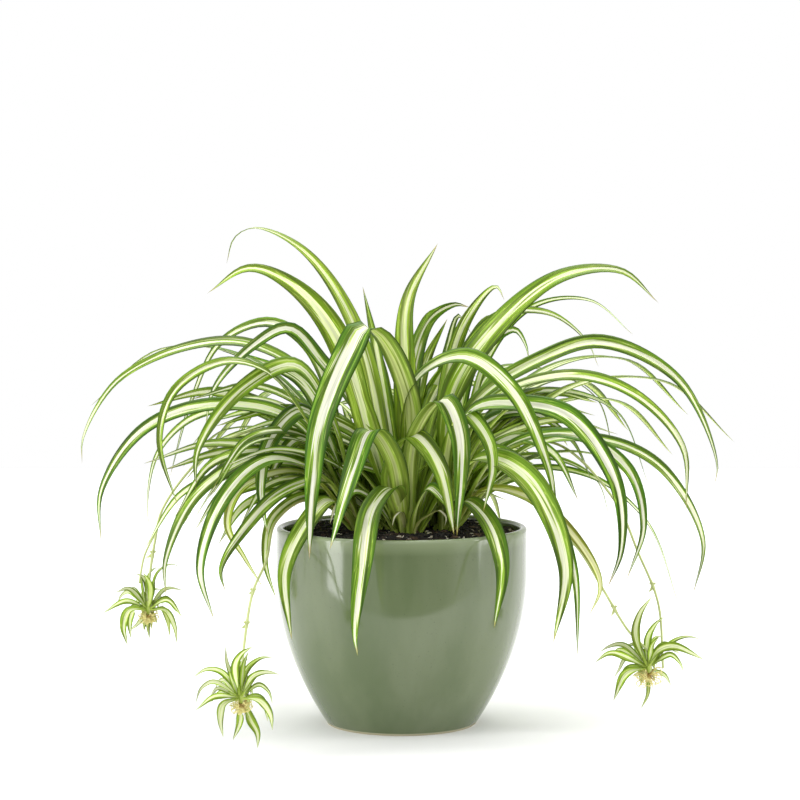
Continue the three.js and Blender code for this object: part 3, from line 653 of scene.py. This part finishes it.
def lifted(points, near, far):
    """Points drawn in elevation, given depth: it goes out fast and then levels, from near to far
    as 1.5 s - 0.5 s cubed of the way s along the drawing."""
    drawn = np.array(points, float)
    length = distances(drawn)
    s = length / length[-1]
    depths = near + (far - near) * (1.5 * s - 0.5 * s**3)
    return np.stack([at_depth(x, z, y) for (x, z), y in zip(drawn, depths)])


def drawn_path(row, number):
    crown, _, depth, _, _, *points = row
    azimuth = np.arctan2(depth, points[-1][0] - CROWNS[crown][0])
    x, y = leaf_root(crown, azimuth, number)
    return lifted([[x, LEAF_ROOT - DRAWING_BASE], *points], y, depth)


def grown_path(crown, azimuth, length, rise, end, number):
    """A midrib grown by rule: equal steps whose slope falls from rise to end as a power of the
    way along."""
    turn = np.radians(azimuth)
    x, y = leaf_root(crown, turn, number)
    steps = BENDING["steps"]
    share = ((np.arange(steps) + 0.5) / steps) ** BENDING["power"]
    slope = np.radians(rise - (rise - end) * share)
    out, up = np.cos(slope) * length / steps, np.sin(slope) * length / steps
    moves = np.stack([out * np.cos(turn), out * np.sin(turn), up], 1)
    path = np.vstack([[x, y, LEAF_ROOT], [x, y, LEAF_ROOT] + np.cumsum(moves, axis=0)])
    return path[:: BENDING["steps_to_point"]]


def blade_share(s, taper):
    """The share of its greatest width that a blade has at s: it swells as a parabola to its
    widest place, then narrows as a power to nothing at the tip."""
    base, widest = BLADE["base"], BLADE["widest"]
    swell = base + (1 - base) * (1 - (1 - np.minimum(s / widest, 1)) ** 2)
    narrow = 1 - (np.maximum(s - widest, 0) / (1 - widest)) ** taper
    return np.where(s < widest, swell, narrow)


def blade_frame(path, lean, turn, s):
    """The directions across a blade and up from it: level and square to the way that it reaches, then
    turned about the midrib by its lean, and by its turn as the way goes on."""
    along = directions(path)
    reach = path[-1] - path[0]
    across = np.array([-reach[1], reach[0], 0]) / np.hypot(reach[0], reach[1])
    wide = unit(across - (along @ across)[:, None] * along)
    side = np.sign(reach[0]) or 1
    angle = np.radians(lean * np.minimum(1, s / BLADE["lean_by"]) + turn * s) * side
    wide = wide * np.cos(angle) + np.cross(along, wide) * np.sin(angle)
    return wide, np.cross(along, wide)


def blade_section(s, v, lower, half, length, seed):
    """How far the places across a blade lie out from its midrib and up from it. At v from -1 to 1 a
    place is v times the half width out, and rises by the channel's angle along a curve that is round
    at the midrib; the margins droop and wave a little. The lower face is a thickness below, which
    thins to the tip and the edges."""
    draw = np.random.default_rng(seed)
    angle = np.radians(CHANNEL["tip"] + CHANNEL["base"] * (1 - s) ** 3)
    rounded = np.sqrt(v**2 + CHANNEL["round"]) - np.sqrt(CHANNEL["round"])
    step, start = draw.uniform(*WAVE["step"]), draw.uniform(*WAVE["start"])
    wave = np.sin(s * length / step + start + v * WAVE["across"])
    lift = half * np.sin(angle) * rounded - CHANNEL["droop"] * half * v**4 * (1 - angle)
    lift = lift + wave * v**2 * WAVE["height"] * half
    thin = THICKNESS["midrib"] * np.minimum(1, THICKNESS["thinning"] * (1 - s) + THICKNESS["tip"])
    lift = lift - np.where(lower, thin * (1 - THICKNESS["edge"] * v**2), 0)
    return half * np.cos(angle) * v, lift


def blade_values(s, v, lower, out, length, seed, looks):
    """A blade's attributes: its band from the midrib to the margin, its face, age, dryness, pale
    foot, and the place in its grain."""
    flat = np.ones_like(out)
    from_stripe = np.abs(v - looks["offset"] * (1 - np.abs(v)))
    dry_tip = np.clip((s - DRY_TIP["from"]) / DRY_TIP["over"], 0, 1) * DRY_TIP["dry"]
    return {
        "band": np.interp(from_stripe, [0, looks["stripe"], 1], [0, LEAF_PLACES[3], 1]) * flat,
        "under": lower * flat,
        "age": looks["age"] * flat,
        "dry": np.minimum(looks["dry"] + dry_tip, 1) * flat,
        "base": PALE_FOOT["level"] * np.exp(-s / PALE_FOOT["fade"]) * flat,
        "grain": np.stack([out, s * length * flat, seed * GRAIN_STEP["leaf"] * flat], 2),
    }


def blade(points, width, lean, turn, grid, seed, looks):
    """A channelled blade along the midrib, closed by its lower face: rings of places across the
    upper face and back across the lower one, which end in a point at the tip."""
    rows, columns = grid["rows"], grid["columns"]
    path, length = smooth_path(points, rows + 1)
    s = np.linspace(0, 1, rows + 1)[:, None]
    wide, up = blade_frame(path, lean, turn, s)
    v = np.linspace(-1, 1, columns + 1)
    v = np.concatenate([v, v[-2:0:-1]])
    lower = np.arange(len(v)) > columns
    half = width / 2 * blade_share(s, grid["taper"])
    out, lift = blade_section(s, v, lower, half, length, seed)
    rings = path[:, None] + wide[:, None] * out[:, :, None] + up[:, None] * lift[:, :, None]
    values = blade_values(s, v, lower, out, length, seed, looks)
    values = {name: value[:-1] for name, value in values.items()}
    return skin(rings[:-1], rings[0].mean(0), path[-1], values)


def leaf_looks(number, age, dry=0.0, stripe=STRIPE["half"]):
    """What sets one leaf apart: its stripe's half width and how far that lies off the middle, as
    shares of the half blade, its age and how dry it is."""
    return {
        "stripe": spread(stripe, number, SHIFT["stripe"]),
        "offset": spread(STRIPE["offset"], number, SHIFT["offset"]),
        "age": age,
        "dry": dry,
    }


def front_looks(i):
    """The looks of a front leaf: the higher it reaches, the younger and paler it is, partly by its
    age and partly as a painted back-light.
    """
    top = max(z for _, z in DRAWN_LEAVES[i][5:])
    # Painted back-light: the higher a leaf reaches, the more it takes the young leaves' paler colours.
    age = spread(FRONT_LOOKS["ages"], i + 1, SHIFT["age"]) * np.interp(top, YOUTH_AND_BACKLIGHT_HEIGHTS, (1, 0))
    if i in YELLOWING:
        age = 0.0
    return leaf_looks(i, age, YELLOWING.get(i, 0.0), FRONT_LOOKS["stripe"])


def gap_looks(i):
    return leaf_looks(i, spread(GAP_LOOKS["ages"], i, SHIFT["age"]))


def drawn_leaves(rows, first_seed, looks_of):
    made = []
    for number, row in enumerate(rows):
        _, width, _, lean, turn, *_ = row
        path = drawn_path(row, number)
        made.append(blade(path, width, lean, turn, FINE, first_seed + number, looks_of(number)))
    return made


def grown_leaves(rule, where_of):
    """The leaves of one rule: number i stands on the crown and azimuth that where_of gives."""
    made = []
    for i in range(rule["count"]):
        crown, azimuth = where_of(rule, i)
        length, rise, width, lean = (
            spread(rule[name], i, SHIFT[name]) for name in ("length", "rise", "width", "lean")
        )
        path = grown_path(crown, azimuth, length, rise, rule["end"], i)
        looks = leaf_looks(i, spread(rule["ages"], i, SHIFT["age"]))
        made.append(blade(path, width, lean, 0, COARSE, rule["seed"] + i, looks))
    return made


def fanned_place(rule, i):
    """An azimuth within the rule's range, and the crown on that side."""
    azimuth = spread(rule["azimuth"], i, SHIFT["azimuth"])
    if azimuth < CROWN_SECTORS["right"]:
        return "right", azimuth
    return ("left" if azimuth > CROWN_SECTORS["left"] else "centre"), azimuth


def heart_place(_, i):
    return list(CROWNS)[i % len(CROWNS)], i * GOLDEN_ANGLE


def crossed_place(rule, i):
    """An azimuth within the rule's range, on each crown in turn."""
    return list(CROWNS)[i % len(CROWNS)], spread(rule["azimuth"], i, SHIFT["azimuth"])


def core_values(grain, band, age, base):
    """The attributes of a plant's core, the same all over it but for the grain."""
    levels = {"under": 0, "dry": 0, "band": band, "age": age, "base": base}
    flat = np.ones(grain.shape[:-1])
    return {**{name: level * flat for name, level in levels.items()}, "grain": grain}


def crown_core(x, y):
    """The swollen base of a crown: a dome whose radius shrinks as the root of 1 less the square of
    the way up."""
    s = np.linspace(0, 0.97, CORE["rows"])
    height = CORE["bottom"] + (CORE["top"] - CORE["bottom"]) * s
    profile = np.stack([CORE["radius"] * np.sqrt(1 - s**2), height], 1)
    rings = turned(profile, CORE["sides"]) + [x, y, 0]
    up = rings[:, :, 2]
    grain = np.stack([around(CORE["sides"]) * CORE["radius"] + 0 * up, up, 0 * up], 2)
    values = core_values(grain, 0.6, 0.4, 0.5)
    return skin(rings, [x, y, CORE["bottom"]], [x, y, CORE["top"]], values)


def leaf_piece(name, parts, leaf):
    piece = make_piece(name, joined(parts), leaf)
    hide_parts("rosette")


def foliage(leaf):
    front = drawn_leaves(DRAWN_LEAVES, FRONT_LOOKS["seed"], front_looks)
    withered = drawn_leaves(WITHERED_LEAVES, WITHERED_SEED, lambda i: leaf_looks(i, **WITHERED_LOOKS))
    seen_through = drawn_leaves(GAP_LEAVES, GAP_LOOKS["seed"], gap_looks)
    leaf_piece("front_leaves", front + withered + seen_through, leaf)
    cores = [crown_core(x, y) for x, y in CROWNS.values()]
    back = grown_leaves(BACK_LEAVES, fanned_place)
    heart = grown_leaves(HEART_LEAVES, heart_place)
    leaf_piece("back_and_heart_leaves", cores + back + heart, leaf)
    leaf_piece("side_leaves", grown_leaves(SIDE_FILL, fanned_place), leaf)
    leaf_piece("steep_leaves", grown_leaves(STEEP_FILL, crossed_place), leaf)


# Runners

def tube(path, radii, sides, seed):
    """A round tube along a path: circles of the given radii, square to the path. Their first
    direction is square to both the path and a fixed vector, so the tube doesn't twist."""
    along = directions(path)
    first = unit(np.cross(along, [0.31, 0.94, 0.12]))
    second = np.cross(along, first)
    turn = around(sides)
    circle = first[:, None] * np.cos(turn)[:, None] + second[:, None] * np.sin(turn)[:, None]
    rings = path[:, None] + circle * radii[:, None, None]
    s = np.linspace(0, 1, len(path))[:, None]
    flat = np.ones((len(path), sides))
    far = distances(path)[:, None]
    grain = np.stack([turn[None] * flat, far * flat, seed * GRAIN_STEP["stem"] * flat], 2)
    return skin(rings, path[0], path[-1], {"along": s * flat, "grain": grain})


def baby_centre(name):
    x, z, y = BABIES[name]["at"]
    return at_depth(x, z, y)


def runner_points(runner):
    points = [at_depth(x, z, y) for x, z, y in runner["path"]]
    if "baby" in runner:
        end = baby_centre(runner["baby"]) + [0, 0, BABY_CORE["top"] + GAP]
        points += [end + [0, 0, RUNNER["drop"]], end]
    return points


def bud(centre, axis, along):
    """A bud: a spindle whose radius goes as the sine of the way along, blunter at the base."""
    s = np.linspace(*BUD["span"], BUD["rows"])
    path = centre + axis * (s[:, None] * BUD["length"])
    made = tube(path, BUD["radius"] * np.sin(np.pi * s ** BUD["blunt"]), BUD["sides"], 3)
    made["values"]["along"] = np.full(len(made["points"]), along)
    return made


def bract(at, forward):
    """A narrow leaf that leans away from the runner: a tube as wide along its way as a blade is,
    flattened in depth."""
    out = np.array([forward[2], 0, -forward[0]]) * BRACT["reach"] * (-1 if forward[2] > 0 else 1)
    middle = at + out * BRACT["bend"] + forward * BRACT["rise"]
    tip = middle + out + forward * BRACT["tip_rise"]
    path, _ = smooth_path([at, middle, tip], BRACT["rows"])
    share = blade_share(np.linspace(0, 1, BRACT["rows"]), SMALL["taper"])
    made = tube(path, BRACT["width"] / 2 * share + BRACT["edge"], BRACT["sides"], 5)
    centre = np.repeat(path, BRACT["sides"], axis=0)
    flattened = made["points"][:-2] - centre
    flattened[:, 1] *= BRACT["flat"]
    made["points"][:-2] = centre + flattened
    return made


def bud_cluster(path, share):
    """A star of buds round the runner, and a bract."""
    index = int(share * (len(path) - 1))
    at, forward = path[index], directions(path)[index]
    tilt = np.radians(BUD["tilt"])
    buds = [bud(at, tilted(tilt, turn - np.pi / 2), share) for turn in around(BUD["count"])]
    return [*buds, bract(at, forward)]


def runner_piece(name, runner, material):
    path, length = smooth_path(runner_points(runner), RUNNER["rows"])
    s = np.linspace(0, 1, RUNNER["rows"])
    swelling = sum(np.exp(-(((s - node) * length / NODE["length"]) ** 2)) for node in runner["buds"])
    radii = RUNNER["radius"] * (1 + NODE["swelling"] * swelling + RUNNER["stouter"] * (1 - s))
    parts = [tube(path, radii * RUNNER["slimmer"], RUNNER["sides"], 1)]
    if "branch" in runner:
        branch, _ = smooth_path([at_depth(x, z, y) for x, z, y in runner["branch"]], BRANCH["rows"])
        side = tube(branch, np.full(BRANCH["rows"], BRANCH["radius"]), RUNNER["sides"], 2)
        side["values"]["along"] = np.full(len(side["points"]), 1.0)
        parts.append(side)
    for share in runner["buds"]:
        parts += bud_cluster(path, share)
    piece = make_piece(f"{name}_runner", joined(parts), material)
    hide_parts(f"runner_{name}")


# Baby plants

def baby_path(name, depth, points):
    """The midrib of a baby plant's leaf: from one side of the core, towards its points."""
    x, z, y = BABIES[name]["at"]
    start = unit(np.array(points[0], float)) * BABY_CORE["root"]
    near = y + np.copysign(BABY_CORE["side"], depth)
    return lifted([start + [x, z], *(np.array(points) + [x, z])], near, y + depth)


def facing_lean(path):
    """The lean in degrees that turns a blade on this path broad to the front, less a share. The
    blade's width lies across the front where the lean's tangent is the way's x over its y by z."""
    x, y, z = unit(path[-1] - path[0])
    full = np.degrees(np.arctan2(abs(x), y * z))
    return BABY_BLADE["facing"] * (full if full < BABY_BLADE["flip"] else full - 180)


def turned_about(way, turn):
    """A path turned about the vertical by an angle in radians."""
    x, y, z = way.T
    return np.stack([x * np.cos(turn) - y * np.sin(turn), x * np.sin(turn) + y * np.cos(turn), z], 1)


def baby_leaves(name):
    """The blades drawn, and two shorter ones turned from each that isn't steep: one that reaches to
    the side by more than half of what it reaches up or down."""
    centre = baby_centre(name)
    made = []
    for number, (width, depth, *points) in enumerate(BABIES[name]["leaves"]):
        way = baby_path(name, depth, points) - centre
        aside, above = np.abs(points[-1])
        age = spread(BABY_BLADE["ages"], number, SHIFT["age"])
        looks = leaf_looks(number, age, 0.0, BABY_BLADE["stripe"])
        width, seed = width * BABY_BLADE["wider"], BABY_BLADE["seed"] + number
        for share, backward in BABY_LEAVES if aside > above / 2 else BABY_LEAVES[:1]:
            path = centre + share * turned_about(way, backward * np.sign(points[-1][0]))
            made.append(blade(path, width, facing_lean(path), 0, SMALL, seed, looks))
    return made


def baby_core(name):
    """The short stem of a baby plant: a spindle from below its leaves to the runner's end."""
    rows = 12
    s = np.linspace(0, 1, rows)
    height = BABY_CORE["bottom"] + (BABY_CORE["top"] - BABY_CORE["bottom"]) * s
    path = baby_centre(name) + np.stack([0 * s, 0 * s, height], 1)
    core = tube(path, BABY_CORE["radius"] * (0.45 + 0.55 * np.sin(np.pi * s)), 12, 1)
    core["values"] = core_values(core["values"]["grain"], 0.55, 0.1, 0.2)
    return core


def root_nubs(name):
    """Fleshy root tips: one straight down and the others splayed round it, each a cone that is
    rounded at its end."""
    top = baby_centre(name) + [0, 0, BABY_CORE["bottom"] - ROOT_NUBS["drop"]]
    parts = []
    for i in range(ROOT_NUBS["count"]):
        length = spread(ROOT_NUBS["length"], i, SHIFT["length"])
        tilt = np.radians(ROOT_NUBS["splay"]) if i else 0.0
        turn = np.radians(i * ROOT_NUBS["turn"])
        axis = tilted(tilt, turn + np.pi / 2) * [1, 1, -1]
        s = np.linspace(0, 0.98, 14)
        bend = np.sin(s * 2.2 + i)[:, None] * np.array([0.35, 0.35, 0])
        path = top + axis * (s[:, None] * length) + bend * s[:, None]
        radii = ROOT_NUBS["radius"] * np.sqrt(1 - s**2.6) * (1 + 0.08 * np.sin(s * 19 + i))
        parts.append(tube(path, radii, 10, i))
    return parts + rootlets(top, BABIES[name]["rootlets"])


def rootlets(top, scale):
    """Thin curled roots round the root tips: each goes out at its own angle and curls back, by a
    sine of the way along across its direction."""
    draw = np.random.default_rng(8)
    s = np.linspace(0, 0.98, 16)
    parts = []
    for i in range(ROOTLETS["count"]):
        length = scale * spread(ROOTLETS["length"], i, SHIFT["length"])
        tilt = np.radians(spread(ROOTLETS["splay"], i, SHIFT["rise"]))
        turn = np.radians(i * GOLDEN_ANGLE)
        axis = tilted(tilt, turn) * [1, 1, -1]
        across = unit(np.cross(axis, draw.normal(size=3)))
        curl = ROOTLETS["curl"] * np.sin(s * draw.uniform(3, 5))
        path = top + axis * (np.sin(s * 1.8) * length * 0.6)[:, None] + across * (curl * s)[:, None]
        parts.append(tube(path, ROOTLETS["radius"] * np.sqrt(1 - s**3), 8, i))
    return parts


def baby_plant(name, leaf, root):
    plant = make_piece(f"{name}_baby", joined([baby_core(name), *baby_leaves(name)]), leaf)
    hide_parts(f"plantlet_{name}")
    nubs = make_piece(f"{name}_root_tips", joined(root_nubs(name)), root)
    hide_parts(f"roots_{name}")


# Pot and soil

def bowl_radius(z):
    """The bowl's outer radius at height z: it swells from the foot to the rim as 1 - (1 - u) to a
    power of the height's share u."""
    u = np.clip((z - FOOT_HEIGHT) / (BOWL_END - FOOT_HEIGHT), 0, 1)
    return BOWL_START_RADIUS + (RIM_RADIUS - BOWL_START_RADIUS) * (1 - (1 - u) ** BOWL_FULLNESS)


def inner_radius(z):
    return bowl_radius(z) - np.interp(z, [0, POT_HEIGHT], [FOOT_WALL, LIP])


def arc(radius, height, size, first, last, count):
    """Points of a circle in the wall's section, as radius and height, between angles in degrees."""
    turn = np.radians(np.linspace(first, last, count))
    return np.stack([radius + size * np.cos(turn), height + size * np.sin(turn)], 1)


def pot_profile():
    """The wall's section from the foot, up the outside, over the lip's half circle and down the
    inside, as radius and height."""
    foot = arc(FOOT_RADIUS - FOOT_ROUND, FOOT_ROUND, FOOT_ROUND, -80, 0, 6)
    bowl = np.linspace(FOOT_HEIGHT, BOWL_END, 60)
    rise = np.concatenate([bowl, np.linspace(STRAIGHT_FROM, POT_HEIGHT - LIP, 8)])
    outside = np.stack([bowl_radius(rise), rise], 1)
    lip = arc(RIM_RADIUS - LIP / 2, POT_HEIGHT - LIP / 2, LIP / 2, 8, 172, 18)
    fall = np.linspace(POT_HEIGHT - LIP, FLOOR + 4, 24)
    inside = np.stack([inner_radius(fall), fall], 1)
    return np.vstack([foot, outside, lip, inside, [[inner_radius(FLOOR) - 5, FLOOR]]])


def pot_piece(material):
    rings = turned(pot_profile(), POT_SIDES)
    pot = make_piece("glazed_bowl", skin(rings, [0, 0, 0], [0, 0, FLOOR], {}), material)
    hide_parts("pot")


def soil_height(radius):
    return SOIL_EDGE + (SOIL_MIDDLE - SOIL_EDGE) * np.cos(np.pi / 2 * radius / RIM_RADIUS)


def lump(rule, draw):
    """A small lump of soil: a six-sided ball of three rings, pulled out of round by random shares,
    at a random place and turn on the soil."""
    size = draw.uniform(*rule["size"])
    radius = (inner_radius(SOIL_EDGE) - LUMP["margin"]) * np.sqrt(draw.uniform(0.0, 1.0))
    place = draw.uniform(0, 2 * np.pi)
    tilt = np.radians(np.linspace(-LUMP["steepest"], LUMP["steepest"], LUMP["rings"]))[:, None]
    turn = around(LUMP["sides"])[None] + draw.uniform(0, 6)
    rough = draw.uniform(*LUMP["rough"], (LUMP["rings"], LUMP["sides"]))
    stretch = draw.uniform(*LUMP["stretch"])
    ball = [stretch * np.cos(tilt) * np.cos(turn), np.cos(tilt) * np.sin(turn), np.sin(tilt) + 0 * turn]
    shape = np.stack(ball, 2) * rough[:, :, None] * size * [1, 1, rule["flat"]]
    height = soil_height(radius) + size * LUMP["raised"]
    middle = np.array([radius * np.cos(place), radius * np.sin(place), height])
    pole = np.array([0, 0, size * rule["flat"]])
    tone = {"tone": np.full(rough.shape, draw.uniform(*rule["tones"]))}
    return skin(shape + middle, middle - pole, middle + pole, tone)


def lumps(rule):
    """The lumps of one rule, scattered over the soil."""
    draw = np.random.default_rng(rule["seed"])
    return [lump(rule, draw) for _ in range(rule["count"])]


def soil_bed():
    """The soil's body: up the pot's wall, and a mounded top that is rough by a sum of sines."""
    wall = np.linspace(FLOOR + 4, SOIL_EDGE, 12)
    side = np.stack([inner_radius(wall) - GAP, wall], 1)
    across = np.linspace(inner_radius(SOIL_EDGE) - GAP - 1, 1, SOIL_TOP["rows"])
    mound = np.stack([across, soil_height(across)], 1)
    rings = turned(np.vstack([side, mound]), SOIL_TOP["sides"])
    x, y = rings[len(side):, :, 0], rings[len(side):, :, 1]
    rough = np.sin(x * 0.9 + 1.3 * np.sin(y * 0.7)) + np.sin(y * 1.1 + 1.7 * np.sin(x * 0.5))
    rings[len(side):, :, 2] += SOIL_TOP["rough"] * rough
    tone = np.full(rings.shape[:2], SOIL_TOP["tone"])
    tone[len(side):] += SOIL_TOP["tone_change"] * rough
    return skin(rings, [0, 0, FLOOR + 1], [0, 0, SOIL_MIDDLE], {"tone": tone})


def soil_piece(material):
    parts = [soil_bed(), *lumps(CRUMBS), *lumps(SPECKS)]
    soil = make_piece("crumbly_soil", joined(parts), material, smooth=False)
    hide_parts("potting_soil")


# Stage, light and camera

def stage_floor():
    """A white table top that ends a little in front of the plant and runs far back."""
    near, far, side = STAGE["near"], STAGE["far"], STAGE["side"]
    points = [(-side, near, 0), (side, near, 0), (side, far, 0), (-side, far, 0)]
    mesh = bpy.data.meshes.new("studio_floor")
    mesh.from_pydata(points, [], [(0, 1, 2, 3)])
    mesh.materials.append(studio_white())
    floor = placed("studio_floor", mesh)


def softbox(name, place, aim, size, power):
    """A rectangular studio light at a place in metres, turned to its aim."""
    light = bpy.data.lights.new(name, "AREA")
    light.shape = "RECTANGLE"
    light.size, light.size_y = size
    light.energy = power
    lamp = placed(name, light)
    lamp.location = place
    away = Vector(place) - Vector(aim)
    lamp.rotation_euler = away.to_track_quat("Z", "Y").to_euler()


def white_surroundings():
    """White all round, but for mirrored light, which finds the unlit room within a cone in front of
    the plant: the share of the dark is a smooth step of the direction's cosine to the cone's axis."""
    world = bpy.data.worlds.new("white_studio")
    world.use_nodes = True
    bpy.context.scene.world = world
    tree = world.node_tree
    tree.nodes.clear()
    way = add(tree, "TexCoord").outputs["Generated"]
    near = add(tree, "VectorMath", {"operation": "DOT_PRODUCT"}, i0=way, i1=DARK_ROOM["way"])
    edges, levels = (DARK_ROOM["edge"], DARK_ROOM["full"]), (1.0, DARK_ROOM["level"])
    dark = ranged(tree, near.outputs["Value"], edges, levels, "SMOOTHSTEP")
    mirrored = add(tree, "LightPath").outputs["Is Glossy Ray"]
    level = maths(tree, "MAXIMUM", dark, maths(tree, "SUBTRACT", 1.0, mirrored))
    back = add(tree, "Background", Color=(1.0, 1.0, 1.0, 1.0), Strength=level)
    add(tree, "OutputWorld", Surface=back.outputs[0])


def camera():
    """The photograph's view: a long lens about as high as the tops of the leaves, tilted down
    slightly."""
    data = bpy.data.cameras.new("camera")
    data.sensor_width = CAMERA["sensor"]
    data.lens = CAMERA["lens"]
    made = placed("camera", data)
    made.location = (CAMERA["x"], -EYE["distance"] * MM, EYE["height"] * MM)
    made.rotation_euler = (np.radians(90 - CAMERA["tilt"]), 0, 0)
    bpy.context.scene.camera = made


def main():
    camera()
    stage_floor()
    white_surroundings()
    for name, row in LIGHTS.items():
        softbox(name, *row)
    bpy.context.scene.view_settings.view_transform = "Standard"
    leaf = variegated_leaf()
    runner = fleshy_stem("runner_stem", "#b8a54e", "#bec886", 0.45)
    root = fleshy_stem("root_flesh", "#9a742a", "#e2d98f", 0.6)
    pot_piece(sage_glaze())
    soil_piece(potting_mix())
    foliage(leaf)
    for name, row in RUNNERS.items():
        runner_piece(name, row, runner)
    for name in BABIES:
        baby_plant(name, leaf, root)


main()
